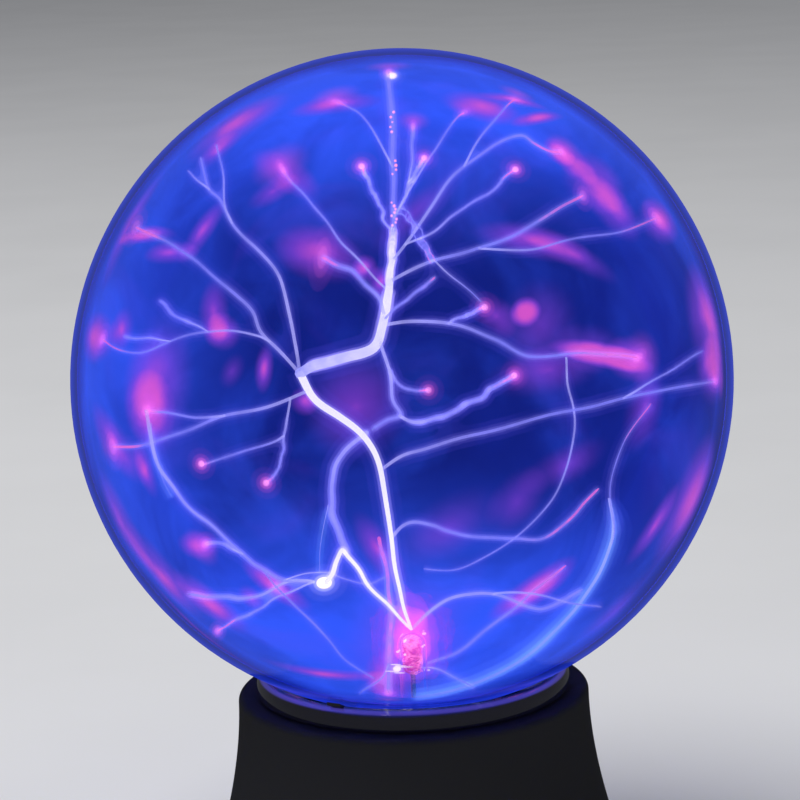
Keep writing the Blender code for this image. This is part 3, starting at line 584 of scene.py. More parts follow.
# Each streamer: name, kind, side it reaches (1 far, -1 near), swell towards the viewer,
# and its way in globe radii as (right, up).
STREAMERS = (
    ("trunk_foot", "rising", -1, 0.30, ((0.02, -0.76), (-0.01, -0.63), (-0.04, -0.42), (-0.06, -0.27),
     (-0.11, -0.18), (-0.19, -0.11), (-0.27, -0.05), (-0.31, 0.02))),
    ("trunk_bend", "ribbon", -1, 0.30, ((-0.31, 0.02), (-0.25, 0.05), (-0.17, 0.07), (-0.09, 0.10),
     (-0.05, 0.18), (-0.04, 0.27))),
    ("trunk_neck", "falling", 1, 0.0, ((-0.04, 0.27), (-0.032, 0.36), (-0.028, 0.46))),
    ("trunk_top", "column", 1, 0.10, ((-0.028, 0.44), (-0.025, 0.55), (-0.027, 0.80), (-0.04, 0.94))),
    ("foot_hook", "hook", -1, 0.0, ((0.02, -0.76), (-0.034, -0.69), (-0.083, -0.643), (-0.124, -0.588),
     (-0.155, -0.539), (-0.18, -0.515), (-0.197, -0.546), (-0.207, -0.588), (-0.228, -0.61))),
    ("left_fork", "branch", 1, 0.1, ((-0.31, 0.02), (-0.332, 0.17), (-0.359, 0.277), (-0.387, 0.333),
     (-0.436, 0.388), (-0.49, 0.443), (-0.525, 0.49), (-0.555, 0.545), (-0.588, 0.58),
     (-0.602, 0.625), (-0.615, 0.68))),
    ("left_fork_side", "thread", 1, 0.0, ((-0.588, 0.58), (-0.629, 0.609), (-0.655, 0.64))),
    ("left_fork_top", "thread", 1, 0.0, ((-0.515, 0.475), (-0.54, 0.53), (-0.542, 0.61),
     (-0.553, 0.665), (-0.567, 0.72))),
    ("left_upper", "branch", -1, 0.0, ((-0.31, 0.02), (-0.373, 0.09), (-0.429, 0.146), (-0.456, 0.208),
     (-0.505, 0.257), (-0.56, 0.305), (-0.615, 0.353), (-0.665, 0.385), (-0.71, 0.415),
     (-0.755, 0.437), (-0.80, 0.46))),
    ("left_middle", "thread", 1, 0.0, ((-0.40, 0.115), (-0.436, 0.132), (-0.51, 0.146),
     (-0.588, 0.1425), (-0.643, 0.132), (-0.72, 0.104), (-0.795, 0.087), (-0.864, 0.097),
     (-0.915, 0.125))),
    ("left_middle_high", "soft", 1, 0.0, ((-0.588, 0.145), (-0.64, 0.175), (-0.698, 0.208),
     (-0.74, 0.243))),
    ("left_middle_side", "soft", 1, 0.0, ((-0.70, 0.11), (-0.78, 0.125), (-0.85, 0.135))),
    ("left_level", "branch", -1, 0.0, ((-0.31, -0.05), (-0.408, -0.083), (-0.53, -0.11),
     (-0.615, -0.138), (-0.72, -0.173), (-0.80, -0.197), (-0.87, -0.20))),
    ("left_level_side", "thread", -1, 0.0, ((-0.53, -0.11), (-0.615, -0.11), (-0.726, -0.097),
     (-0.77, -0.09))),
    ("left_dot", "thread", -1, 0.0, ((-0.318, -0.08), (-0.356, -0.166), (-0.363, -0.228),
     (-0.387, -0.29), (-0.41, -0.31))),
    ("left_dot_low", "thread", -1, 0.0, ((-0.356, -0.166), (-0.387, -0.187), (-0.477, -0.2145),
     (-0.581, -0.249), (-0.605, -0.252))),
    ("middle_loop", "column", 1, 0.1, ((-0.06, -0.13), (-0.11, -0.16), (-0.173, -0.2145),
     (-0.204, -0.277), (-0.214, -0.346), (-0.207, -0.415), (-0.19, -0.47), (-0.166, -0.526))),
    ("left_long", "branch", 1, 0.2, ((-0.775, -0.09), (-0.757, -0.16), (-0.733, -0.263), (-0.67, -0.353),
     (-0.615, -0.408), (-0.546, -0.463), (-0.477, -0.5325), (-0.429, -0.574), (-0.359, -0.6085),
     (-0.27, -0.615))),
    ("left_long_tail", "thread", 1, 0.0, ((-0.429, -0.574), (-0.387, -0.629), (-0.33, -0.685),
     (-0.27, -0.74), (-0.221, -0.795), (-0.173, -0.8575), (-0.083, -0.913))),
    ("left_low", "branch", -1, 0.0, ((-0.25, -0.61), (-0.339, -0.612), (-0.408, -0.643),
     (-0.477, -0.66), (-0.56, -0.66), (-0.643, -0.643))),
    ("left_low_side", "thread", -1, 0.0, ((-0.25, -0.62), (-0.387, -0.664), (-0.442, -0.70),
     (-0.50, -0.725), (-0.555, -0.755))),
    ("left_low_back", "soft", 1, 0.0, ((-0.36, -0.61), (-0.29, -0.588), (-0.22, -0.585), (-0.17, -0.603),
     (-0.10, -0.62), (-0.05, -0.60))),
    ("left_low_dot", "soft", 1, 0.0, ((-0.48, -0.53), (-0.54, -0.50), (-0.60, -0.50))),
    ("right_long", "branch", 1, 0.0, ((-0.052, -0.266), (0.0, -0.232), (0.072, -0.2075), (0.238, -0.156),
     (0.522, -0.09), (0.694, -0.052), (0.82, -0.025), (0.955, -0.003))),
    ("right_long_side", "thread", 1, 0.0, ((0.66, -0.058), (0.76, -0.005), (0.92, 0.09))),
    ("centre_down", "branch", -1, 0.0, ((-0.06, 0.13), (-0.04, 0.03), (-0.02, -0.06), (-0.005, -0.105),
     (-0.045, -0.12), (-0.09, -0.15))),
    ("centre_right", "branch", 1, 0.0, ((-0.01, -0.105), (0.04, -0.13), (0.10, -0.115), (0.17, -0.09),
     (0.24, -0.05), (0.30, -0.01), (0.342, 0.0145))),
    ("centre_dot", "thread", -1, 0.0, ((-0.05, 0.05), (-0.01, -0.01), (0.03, -0.03), (0.08, -0.03))),
    ("upper_right", "branch", 1, 0.0, ((-0.04, 0.165), (0.024, 0.177), (0.141, 0.17), (0.21, 0.156),
     (0.28, 0.125), (0.349, 0.087), (0.404, 0.073), (0.508, 0.084), (0.62, 0.078), (0.72, 0.068))),
    ("upper_right_dot", "thread", -1, 0.0, ((0.14, 0.175), (0.19, 0.195), (0.25, 0.22))),
    ("hook_tail", "soft", -1, 0.0, ((0.10, 0.36), (0.147, 0.315), (0.207, 0.265), (0.24, 0.235))),
    ("trunk_side", "thread", -1, 0.0, ((-0.048, 0.18), (-0.015, 0.22), (0.024, 0.25), (0.072, 0.291),
     (0.10, 0.312))),
    ("upper_arch", "branch", 1, 0.15, ((-0.03, 0.36), (0.037, 0.45), (0.093, 0.533), (0.141, 0.602),
     (0.19, 0.65), (0.259, 0.70), (0.321, 0.734), (0.369, 0.7476), (0.404, 0.727), (0.452, 0.70),
     (0.49, 0.695))),
    ("upper_spray", "branch", -1, 0.0, ((-0.035, 0.30), (0.024, 0.333), (0.065, 0.353), (0.12, 0.374),
     (0.21, 0.398), (0.28, 0.4156), (0.349, 0.443), (0.418, 0.485), (0.487, 0.526), (0.545, 0.556))),
    ("upper_spray_low", "thread", -1, 0.0, ((0.23, 0.40), (0.307, 0.398), (0.39, 0.398),
     (0.459, 0.409), (0.556, 0.43), (0.639, 0.447), (0.70, 0.465), (0.765, 0.487))),
    ("upper_steep", "thread", -1, 0.0, ((0.03, 0.40), (0.072, 0.436), (0.141, 0.4916), (0.21, 0.54),
     (0.28, 0.582), (0.307, 0.606), (0.342, 0.635))),
    ("upper_steep_two", "thread", 1, 0.0, ((0.19, 0.65), (0.231, 0.72), (0.28, 0.789), (0.321, 0.841),
     (0.345, 0.858))),
    ("upper_mid_dot", "thread", -1, 0.0, ((-0.02, 0.50), (0.01, 0.56), (0.045, 0.63), (0.067, 0.67))),
    ("upper_tall_dot", "soft", 1, 0.0, ((0.02, 0.60), (0.03, 0.70), (0.034, 0.775))),
    ("upper_wide_dot", "thread", 1, 0.0, ((-0.01, 0.52), (0.067, 0.655), (0.107, 0.713), (0.162, 0.796),
     (0.19, 0.817))),
    ("upper_left_dot", "thread", -1, 0.0, ((-0.035, 0.44), (-0.048, 0.478), (-0.076, 0.547),
     (-0.11, 0.616), (-0.122, 0.645))),
    ("upper_left_far", "thread", 1, 0.0, ((-0.06, 0.27), (-0.131, 0.36), (-0.20, 0.443), (-0.27, 0.533),
     (-0.304, 0.575), (-0.339, 0.61), (-0.365, 0.645))),
    ("upper_left_near", "branch", -1, 0.0, ((-0.06, 0.19), (-0.072, 0.25), (-0.131, 0.312),
     (-0.186, 0.34), (-0.24, 0.37))),
    ("top_left_strand", "thread", 1, 0.0, ((-0.035, 0.66), (-0.083, 0.755), (-0.124, 0.81),
     (-0.16, 0.832), (-0.20, 0.85))),
    ("small_hook", "wire", -1, 0.0, ((-0.025, 0.51), (0.003, 0.519), (0.037, 0.478), (0.072, 0.4156),
     (0.10, 0.36))),
    ("small_hook_two", "wire", -1, 0.0, ((-0.02, 0.50), (0.004, 0.503), (0.03, 0.46), (0.06, 0.40),
     (0.088, 0.352))),
    ("low_right", "branch", 1, 0.0, ((-0.025, -0.477), (0.003, -0.443), (0.044, -0.432), (0.10, -0.446),
     (0.141, -0.463), (0.238, -0.477), (0.349, -0.477), (0.425, -0.48), (0.50, -0.429),
     (0.556, -0.3735), (0.60, -0.33))),
    ("faint_arc", "thread", 1, 0.0, ((0.50, 0.07), (0.505, -0.01), (0.522, -0.09), (0.522, -0.173),
     (0.50, -0.27), (0.4455, -0.3735), (0.349, -0.477), (0.245, -0.546), (0.162, -0.588),
     (0.065, -0.574))),
    ("foot_right", "branch", -1, 0.0, ((0.03, -0.755), (0.072, -0.712), (0.141, -0.664), (0.224, -0.647),
     (0.307, -0.6535), (0.39, -0.685), (0.432, -0.688), (0.487, -0.657), (0.542, -0.63))),
    ("foot_right_two", "thread", -1, 0.0, ((0.28, -0.652), (0.3625, -0.647), (0.432, -0.6535),
     (0.508, -0.671), (0.60, -0.682))),
    ("right_band_top", "soft", 1, 0.0, ((0.64, -0.50), (0.646, -0.443), (0.632, -0.36), (0.637, -0.29),
     (0.667, -0.2075), (0.715, -0.131), (0.76, -0.07))),
    ("right_band", "band", 1, 0.0, ((0.632, -0.36), (0.646, -0.443), (0.639, -0.512), (0.608, -0.588),
     (0.57, -0.643), (0.515, -0.719), (0.4455, -0.795), (0.362, -0.8645), (0.28, -0.913),
     (0.176, -0.951), (0.037, -0.966))),
    ("loop_band", "veil", 1, 0.0, ((-0.225, -0.38), (-0.238, -0.44), (-0.25, -0.52), (-0.252, -0.59))),
    ("left_band", "veil", 1, 0.0, ((-0.765, -0.13), (-0.76, -0.20), (-0.735, -0.29), (-0.70, -0.36))),
    ("foot_drop", "column", 1, 0.0, ((-0.07, -0.48), (-0.045, -0.60), (-0.034, -0.69), (-0.038, -0.83),
     (-0.041, -0.955))),
    ("foot_up_right", "branch", 1, 0.0, ((0.05, -0.875), (0.169, -0.83), (0.266, -0.754),
     (0.349, -0.692), (0.404, -0.643), (0.50, -0.565))),
    ("foot_low_left", "soft", 1, 0.0, ((-0.02, -0.87), (-0.06, -0.91), (-0.13, -0.955))),
    ("foot_low_right", "soft", 1, 0.0, ((0.04, -0.865), (0.12, -0.89), (0.22, -0.935))),
)

# Start and end radius of each kind's core and the radii of its inner and outer glow, in metres.
KINDS = {
    "rising": (0.00050, 0.00125, 0.0020, 0.0040),
    "falling": (0.00120, 0.00070, 0.0019, 0.0038),
    "hook": (0.00045, 0.00070, 0.0016, 0.0036),
    "ribbon": (0.00165, 0.00130, 0.0025, 0.0046),
    "column": (0.00060, 0.00055, 0.0020, 0.0040),
    "branch": (0.00052, 0.00036, 0.0016, 0.0031),
    "thread": (0.00036, 0.00024, 0.0012, 0.0025),
    "soft": (0.00024, 0.00018, 0.0013, 0.0030),
    "wire": (0.00026, 0.00020, 0.0007, 0.0017),
    "band": (0.00050, 0.00050, 0.0023, 0.0043),
    "veil": (0.00012, 0.00012, 0.0008, 0.0022),
}

HOT_KINDS = ("rising", "falling", "hook", "ribbon")

# Where each of these streamers starts and ends on the scale from hot root to pink tip.
SHARES = {
    "trunk_foot": (0.0, 0.25), "trunk_bend": (1.0, 0.75), "trunk_neck": (0.55, 1.0), "foot_hook": (0.0, 0.25),
    "trunk_top": (0.30, 0.70), "foot_drop": (0.95, 0.80), "low_right": (0.12, 1.12),
    "right_band_top": (0.3, 1.0), "left_long_tail": (0.5, 0.6), "trunk_side": (0.55, 0.86),
    "small_hook": (0.3, 0.9), "small_hook_two": (0.3, 0.9), "foot_up_right": (0.40, 0.93), "right_long": (0.0, 0.84),
}

# Streamers whose first point doesn't hang on another streamer.
FREE = ("foot_drop", "loop_band", "left_band", "right_band", "faint_arc", "left_low_back")

# Streamers that end in a bright dot on the glass, with its size in metres.
DOTS = {
    "left_dot": 0.0030, "left_dot_low": 0.0030, "centre_dot": 0.0028, "upper_right_dot": 0.0029,
    "upper_steep": 0.0030, "upper_mid_dot": 0.0028, "upper_left_dot": 0.0031, "centre_right": 0.0034,
}

# Streamers that end in a soft flame along the glass, with its length and width in metres.
FLAMES = {
    "trunk_top": (0.0060, 0.0030), "left_upper": (0.0060, 0.0022), "left_middle": (0.0060, 0.0034),
    "left_level": (0.0066, 0.0034), "left_level_side": (0.0060, 0.0040),
    "left_low_side": (0.0056, 0.0024), "left_low_dot": (0.0056, 0.0034), "right_long": (0.0050, 0.0030),
    "upper_right": (0.0070, 0.0036), "upper_arch": (0.0052, 0.0024), "upper_spray": (0.0050, 0.0028),
    "upper_spray_low": (0.0056, 0.0032), "upper_steep_two": (0.0050, 0.0020),
    "upper_tall_dot": (0.0044, 0.0024), "upper_wide_dot": (0.0044, 0.0020),
    "upper_left_far": (0.0080, 0.0026), "upper_left_near": (0.0090, 0.0036),
    "top_left_strand": (0.0066, 0.0022), "foot_drop": (0.0040, 0.0040),
}

# Clouds of violet and pink on the wall: right, up, side, width, height, turn in degrees, strength.
WALL_CLOUDS = (
    (-0.755, -0.03, 1, 0.22, 0.09, 65, 0.75), (-0.775, -0.085, 1, 0.11, 0.06, 85, 0.9),
    (-0.256, 0.388, 1, 0.15, 0.07, -27, 0.85), (-0.359, 0.637, 1, 0.12, 0.045, -50, 0.8),
    (-0.394, 0.575, 1, 0.09, 0.03, 20, 0.6), (0.404, -0.643, 1, 0.16, 0.036, 40, 1.2),
    (-0.387, -0.629, 1, 0.13, 0.030, -42, 1.1), (-0.24, -0.90, 1, 0.09, 0.030, 50, 0.9),
    (-0.864, -0.43, 1, 0.17, 0.034, -62, 0.8), (-0.733, -0.60, 1, 0.17, 0.034, -42, 0.8),
    (-0.588, -0.685, 1, 0.13, 0.034, -25, 0.9), (0.888, -0.3735, 1, 0.22, 0.050, 67, 0.95),
    (0.77, -0.449, 1, 0.13, 0.022, 42, 0.8), (0.14, -0.45, 1, 0.19, 0.075, 40, 0.5),
    (0.35, -0.37, 1, 0.12, 0.060, 60, 0.6), (0.50, -0.26, 1, 0.15, 0.050, 12, 0.45),
    (0.74, -0.09, 1, 0.13, 0.050, 55, 0.55), (0.943, 0.167, 1, 0.19, 0.050, -73, 1.0),
    (0.957, 0.028, 1, 0.10, 0.045, -85, 0.9), (0.48, 0.70, 1, 0.05, 0.030, -15, 1.2),
    (0.53, 0.66, 1, 0.08, 0.030, -42, 0.8), (0.59, 0.61, 1, 0.11, 0.065, -50, 0.8),
    (0.646, 0.526, 1, 0.12, 0.045, -40, 0.9), (0.79, 0.49, 1, 0.08, 0.045, -60, 0.9),
    (0.40, 0.425, 1, 0.18, 0.045, 2, 0.7), (0.52, 0.385, 1, 0.16, 0.035, -10, 0.5),
    (0.376, 0.208, 1, 0.05, 0.035, 35, 1.2), (0.42, 0.17, 1, 0.15, 0.10, 50, 0.4),
    (0.285, 0.195, 1, 0.08, 0.045, -50, 0.6), (0.45, 0.03, 1, 0.20, 0.06, 10, 0.45),
    (0.62, 0.075, 1, 0.16, 0.030, -4, 1.1), (0.70, 0.066, 1, 0.08, 0.055, 0, 0.8),
    (0.58, 0.10, 1, 0.11, 0.06, 0, 0.4), (0.04, 0.51, 1, 0.18, 0.045, 52, 0.45),
    (0.245, 0.837, 1, 0.11, 0.040, 8, 0.9), (0.418, 0.803, 1, 0.06, 0.024, 55, 1.0),
    (0.345, 0.858, 1, 0.05, 0.024, 45, 0.9), (-0.205, 0.845, 1, 0.11, 0.030, -20, 0.9),
    (-0.5115, 0.7855, 1, 0.17, 0.040, 22, 0.9), (-0.565, 0.70, 1, 0.08, 0.024, 50, 0.6),
    (-0.61, 0.455, 1, 0.12, 0.026, 60, 0.8), (-0.71, 0.39, 1, 0.08, 0.030, -20, 1.0),
    (-0.79, 0.445, 1, 0.08, 0.024, -25, 1.1), (-0.84, 0.47, 1, 0.08, 0.045, -60, 0.7),
    (-0.574, 0.208, 1, 0.10, 0.040, -75, 0.75), (-0.546, 0.146, 1, 0.06, 0.045, -20, 0.9),
    (-0.42, 0.035, 1, 0.08, 0.024, 85, 0.8), (-0.518, 0.028, 1, 0.06, 0.03, 50, 0.5),
    (-0.94, 0.132, 1, 0.08, 0.045, 85, 0.9), (-0.857, 0.155, 1, 0.07, 0.030, 85, 0.7),
    (-0.14, -0.08, 1, 0.17, 0.14, -40, 0.5), (-0.296, -0.062, 1, 0.05, 0.036, 20, 1.0),
    (-0.114, 0.34, 1, 0.045, 0.032, 80, 1.0), (-0.065, 0.298, 1, 0.040, 0.040, 0, 1.0),
    (-0.878, -0.197, 1, 0.09, 0.060, 0, 0.8), (-0.785, -0.277, 1, 0.09, 0.022, -70, 0.7),
    (-0.622, -0.505, 1, 0.06, 0.040, 30, 0.9), (-0.46, -0.665, 1, 0.04, 0.030, 0, 0.7),
    (-0.60, -0.79, 1, 0.08, 0.030, 35, 1.0), (-0.072, -0.515, 1, 0.13, 0.042, -68, 0.85),
    (0.02, -0.80, 1, 0.20, 0.16, 0, 0.5), (-0.04, -0.93, 1, 0.08, 0.07, 0, 0.9),
    (0.66, -0.70, 1, 0.16, 0.030, 45, 0.4), (0.86, 0.02, -1, 0.10, 0.24, 10, 0.25),
)
# White-hot spots: right, up, away and size in metres.
HOT_SPOTS = ((-0.235, -0.612, -0.62, 0.0017), (-0.03, 0.93, 0.16, 0.0011), (-0.015, -0.876, -0.080, 0.0009))
# Short rays of the hot spot at the electrode's foot: right, up and length in metres.
STAR_RAYS = ((1, 0.25, 0.0030), (-1, -0.5, 0.0022), (-0.3, 1, 0.0017), (0.6, -1, 0.0018), (1, 0.8, 0.0018))
# Heights of the small pink beads that hang on the upper trunk.
BEADS = (0.815, 0.80, 0.785, 0.77, 0.755, 0.667, 0.653, 0.64, 0.627, 0.54, 0.53, 0.52, 0.51, 0.50, 0.49,
         0.48, 0.471)
LENS_SHARE = GLOBE_RADIUS / LOOK_DISTANCE


def globe_point(right, up, away):
    """A point given in globe radii, widened with distance as it is looked at."""
    wide = 1 + away * LENS_SHARE
    return GLOBE_CENTRE + GLOBE_RADIUS * (wide * (right * RIGHT + up * UP) + away * AWAY)


def wall_depth(right, up, side, reach=0.955):
    """How far away the globe's wall is along one line of sight."""
    flat = right * right + up * up
    a, b, c = flat * LENS_SHARE**2 + 1, flat * LENS_SHARE, flat - reach * reach
    return (-b + side * math.sqrt(max(b * b - a * c, 0.0004))) / a


def as_seen(point):
    """The (right, up) of a point, in globe radii."""
    offset = (point - GLOBE_CENTRE) / GLOBE_RADIUS
    wide = 1 + offset.dot(AWAY) * LENS_SHARE
    return offset.dot(RIGHT) / wide, offset.dot(UP) / wide


def depth_of(point):
    return (point - GLOBE_CENTRE).dot(AWAY) / GLOBE_RADIUS


def streamer_lines():
    """Every streamer's smooth line in the globe, each root joined to the nearest line before it."""
    random.seed(settings().discharge.seed)
    lines, known = {}, []
    tip = Vector((0, 0, ELECTRODE_TIP + 0.0006))
    for name, kind, side, swell, way in STREAMERS:
        near = [p for p in known if math.dist(as_seen(p), way[0]) < 0.07 and name not in FREE]
        if math.dist(way[0], as_seen(tip)) < 0.08:
            root = tip
        elif near:
            root = min(near, key=lambda p: math.dist(as_seen(p), way[0]))
        else:
            root = globe_point(*way[0], wall_depth(*way[0], side) * 0.9)
        lengths = [0.0]
        for a, b in zip(way, way[1:]):
            lengths.append(lengths[-1] + math.dist(a, b))
        first, last = depth_of(root), wall_depth(*way[-1], side)
        if name in ("trunk_foot", "trunk_bend"):
            last = -0.12
        points = [root]
        for place, length in zip(way[1:], lengths[1:]):
            share = length / lengths[-1]
            away = first + (last - first) * share**1.2 - swell * math.sin(math.pi * share)
            points.append(globe_point(*place, away))
        line = smooth_route(points, 7)
        seed = Vector([random.uniform(-50, 50) for _ in range(3)])
        for i, point in enumerate(line[1:-1], 1):
            hold = math.sin(math.pi * i / (len(line) - 1)) ** 0.5
            line[i] = point + noise.noise_vector(point * 55 + seed) * 0.0011 * hold
        lines[name] = (kind, [held_in(p, 0.0975) for p in line])
        known += lines[name][1]
    return lines


def held_in(point, reach):
    """The point, kept inside a sphere about the globe's centre."""
    offset = point - GLOBE_CENTRE
    return GLOBE_CENTRE + offset.normalized() * min(offset.length, reach)


def hold_inside(piece, reach):
    for vertex in piece.data.vertices:
        vertex.co = held_in(vertex.co, reach)


def glow_union(name, lines, column, spread, voxel, kinds, reach):
    """Tubes of glow round the streamers of some kinds, grown together into one skin."""
    made = []
    for key, (kind, line) in lines.items():
        if kind in kinds:
            radius = KINDS[kind][column] * spread
            radii = [radius * min(1, 0.35 + 5 * i / len(line)) for i in range(len(line))]
            made.append(tube(key + name, line, radii, 1))
    piece = join(made, name)
    use_modifier(piece, "REMESH", mode="VOXEL", voxel_size=voxel, use_smooth_shade=True)
    use_modifier(piece, "SMOOTH", iterations=3)
    hold_inside(piece, reach)
    return piece


def flat_patch(name, place, along, length, width, thickness):
    """A flattened drop of glow against the glass."""
    outward = (place - GLOBE_CENTRE).normalized()
    along = (along - along.dot(outward) * outward)
    along = along.normalized() if along.length > 0.0001 else outward.orthogonal().normalized()
    turn = Matrix((along, outward.cross(along), outward)).transposed().to_4x4()
    clear_selection()
    bpy.ops.mesh.primitive_uv_sphere_add(segments=20, ring_count=12, radius=1)
    piece = name_piece(name)
    size = Matrix.Diagonal((length, width, thickness, 1))
    piece.data.transform(Matrix.Translation(place) @ turn @ size)
    return piece


def brushes(name, lines, ends, scale, thickness):
    """Flattened drops of glow at the ends of some streamers, drawn out along them."""
    made = []
    for key, size in ends.items():
        line = lines[key][1]
        length, width = size if isinstance(size, tuple) else (size, size)
        made.append(
            flat_patch(key + name, line[-1], line[-1] - line[-4], length * scale, width * scale, thickness)
        )
    return join(made, name)


def wall_spots(tree, place, spots):
    """The sum of soft round or drawn-out spots on the unit sphere."""
    total = None
    for centre, turn, size, strength in spots:
        moved = add_node(
            tree, "Mapping",
            {"Vector": place, "Location": centre, "Rotation": turn, "Scale": size},
            vector_type="TEXTURE",
        ).outputs["Vector"]
        soft = add_node(tree, "TexGradient", {"Vector": moved}, gradient_type="SPHERICAL")
        inputs = {0: soft.outputs["Fac"], 1: strength, 2: 0.0 if total is None else total}
        total = add_node(tree, "Math", inputs, operation="MULTIPLY_ADD").outputs[0]
    return total


def spot_frame(right, up, side, width, height, turn):
    """Centre, turn and size on the unit sphere of a spot that lies along the wall."""
    place = (globe_point(right, up, wall_depth(right, up, side, 0.977)) - GLOBE_CENTRE) / GLOBE_RADIUS
    outward = place.normalized()
    angle = math.radians(turn)
    slant = 1 / max(0.32, math.sqrt(max(0, 1 - right * right - up * up))) - 1
    lean = math.cos(angle - math.atan2(up, right)) ** 2
    width, height = width * (1 + slant * lean), height * (1 + slant * (1 - lean))
    along = RIGHT * math.cos(angle) + UP * math.sin(angle)
    along = (along - along.dot(outward) * outward).normalized()
    axes = Matrix((along, outward.cross(along), outward)).transposed()
    return tuple(place), tuple(axes.to_euler()), (width, height, 0.30)


def wall_glow(lines):
    """The glowing gas against the glass: deep blue, with brighter foot and top, clouds and spots."""
    look = settings().discharge
    material, tree, surface = new_material("wall_glow")
    tree.nodes.remove(surface)
    place = object_place(
        tree, [1 / GLOBE_RADIUS] * 3, [-c / GLOBE_RADIUS for c in GLOBE_CENTRE]
    )
    axes = add_node(tree, "SeparateXYZ", {"Vector": place}).outputs
    height, across = axes["Z"], axes["X"]
    clouds = add_node(
        tree, "TexNoise",
        {"Vector": place, "Scale": 2.4, "Detail": 4.0, "Roughness": 0.5, "Distortion": 0.6},
    ).outputs["Fac"]
    foot = ramp(tree, height, -0.40, -0.92)
    foot = add_node(tree, "Math", {0: foot, 1: ramp(tree, across, 0.10, 0.75, 1.0, 0.62)}, operation="MULTIPLY").outputs[0]
    top = ramp(tree, height, 0.20, 0.90)
    side = ramp(tree, across, -0.40, -0.95, 0.0, 0.64)
    ends = add_node(tree, "Math", {0: foot, 1: top}, operation="MAXIMUM").outputs[0]
    ends = add_node(tree, "Math", {0: ends, 1: side}, operation="MAXIMUM").outputs[0]
    ends = add_node(tree, "Math", {0: ends, 1: ramp(tree, clouds, 0.25, 0.6, 0.55, 1.0)}, operation="MULTIPLY").outputs[0]
    cloudy = ramp(tree, clouds, 0.42, 0.75, 0.0, 0.30)
    light = add_node(tree, "Math", {0: ends, 1: cloudy}, operation="ADD").outputs[0]
    base = blend_colour(tree, light, opaque(look.deep), opaque(look.bright))
    haze = add_node(
        tree, "TexNoise", {"Vector": place, "Scale": 1.7, "Detail": 3.0, "Distortion": 1.2}
    ).outputs["Fac"]
    base = blend_colour(tree, ramp(tree, haze, 0.52, 0.78, 0.0, 0.10), base, opaque(look.violet))
    cloud_spots = [
        (*spot_frame(*cloud[:3], cloud[3] * 1.15, cloud[4] * 1.5, cloud[5]), cloud[6] * 1.5)
        for cloud in WALL_CLOUDS
    ]
    tip_spots = []
    for key, size in {**DOTS, **FLAMES}.items():
        tip = (lines[key][1][-1] - GLOBE_CENTRE).normalized() * (GAS_RADIUS / GLOBE_RADIUS)
        reach = (max(size) if isinstance(size, tuple) else size) / GLOBE_RADIUS * 1.5
        tip_spots.append((tuple(tip), (0, 0, 0), (reach, reach, reach), 0.5))
    broad = wall_spots(tree, place, cloud_spots)
    tips = wall_spots(tree, place, tip_spots)
    ragged = ramp(tree, clouds, 0.30, 0.65, 0.6, 1.0)
    broad = add_node(tree, "Math", {0: broad, 1: ragged}, operation="MULTIPLY").outputs[0]
    violet = ramp(tree, broad, 0.0, 1.0, 0.0, 0.8)
    colour = blend_colour(tree, violet, base, (0.26, 0.05, 0.62, 1))
    colour = blend_colour(tree, ramp(tree, broad, 0.55, 1.4, 0.0, 0.8), colour, (0.85, 0.10, 0.50, 1))
    colour = blend_colour(tree, ramp(tree, tips, 0.0, 0.9, 0.0, 0.9), colour, (0.55, 0.08, 0.60, 1))
    near = add_node(tree, "Math", {0: broad, 1: 0.45}, operation="MULTIPLY").outputs[0]
    near = add_node(tree, "Math", {0: tips, 1: near}, operation="ADD").outputs[0]
    near = ramp(tree, near, 0.05, 1.0, 0.0, 0.6)
    veil = ramp(tree, clouds, 0.35, 0.7, 0.01, 0.08)
    near = add_node(tree, "Math", {0: near, 1: veil}, operation="MAXIMUM").outputs[0]
    behind = add_node(tree, "NewGeometry").outputs["Backfacing"]
    hold = add_node(tree, "Mix", {0: behind, 2: near, 3: 1.0}, data_type="FLOAT").outputs[0]
    shine = add_node(tree, "Emission", {"Color": colour}).outputs["Emission"]
    clear = add_node(tree, "BsdfTransparent").outputs["BSDF"]
    mixed = add_node(tree, "MixShader", {0: hold, 1: clear, 2: shine}).outputs["Shader"]
    tree.links.new(mixed, tree.nodes["Material Output"].inputs["Surface"])
    quiet(material)
    return material


def glow_ball(name, radius, segments=96):
    """A ball of gas that reaches a little way down into the neck."""
    clear_selection()
    bpy.ops.mesh.primitive_uv_sphere_add(
        segments=segments, ring_count=segments // 2, radius=radius, location=GLOBE_CENTRE
    )
    piece = name_piece(name)
    bpy.ops.object.transform_apply(location=True)
    bpy.ops.object.mode_set(mode="EDIT")
    bpy.ops.mesh.select_mode(type="FACE")
    bpy.ops.mesh.select_all(action="DESELECT")
    bpy.ops.object.mode_set(mode="OBJECT")
    low = GLOBE_CENTRE.z - radius
    for face in piece.data.polygons:
        face.select = face.center.z < low + 0.02 and face.center.xy.length < NECK_RADIUS - 0.005
    bpy.ops.object.mode_set(mode="EDIT")
    bpy.ops.mesh.extrude_region_move(TRANSFORM_OT_translate={"value": (0, 0, -0.006)})
    bpy.ops.transform.resize(value=(0.92, 0.92, 1), center_override=(0, 0, low))
    bpy.ops.object.mode_set(mode="OBJECT")
    return piece


def shell_of_gas(name, outer, inner):
    """A closed shell of gas under the glass."""
    ball, hollow = glow_ball(name, outer), glow_ball(name + "_hollow", inner)
    choose(hollow)
    bpy.ops.object.mode_set(mode="EDIT")
    bpy.ops.mesh.select_all(action="SELECT")
    bpy.ops.mesh.flip_normals()
    bpy.ops.object.mode_set(mode="OBJECT")
    return join([ball, hollow], name)


# ---------------------------------------------------------------- operators


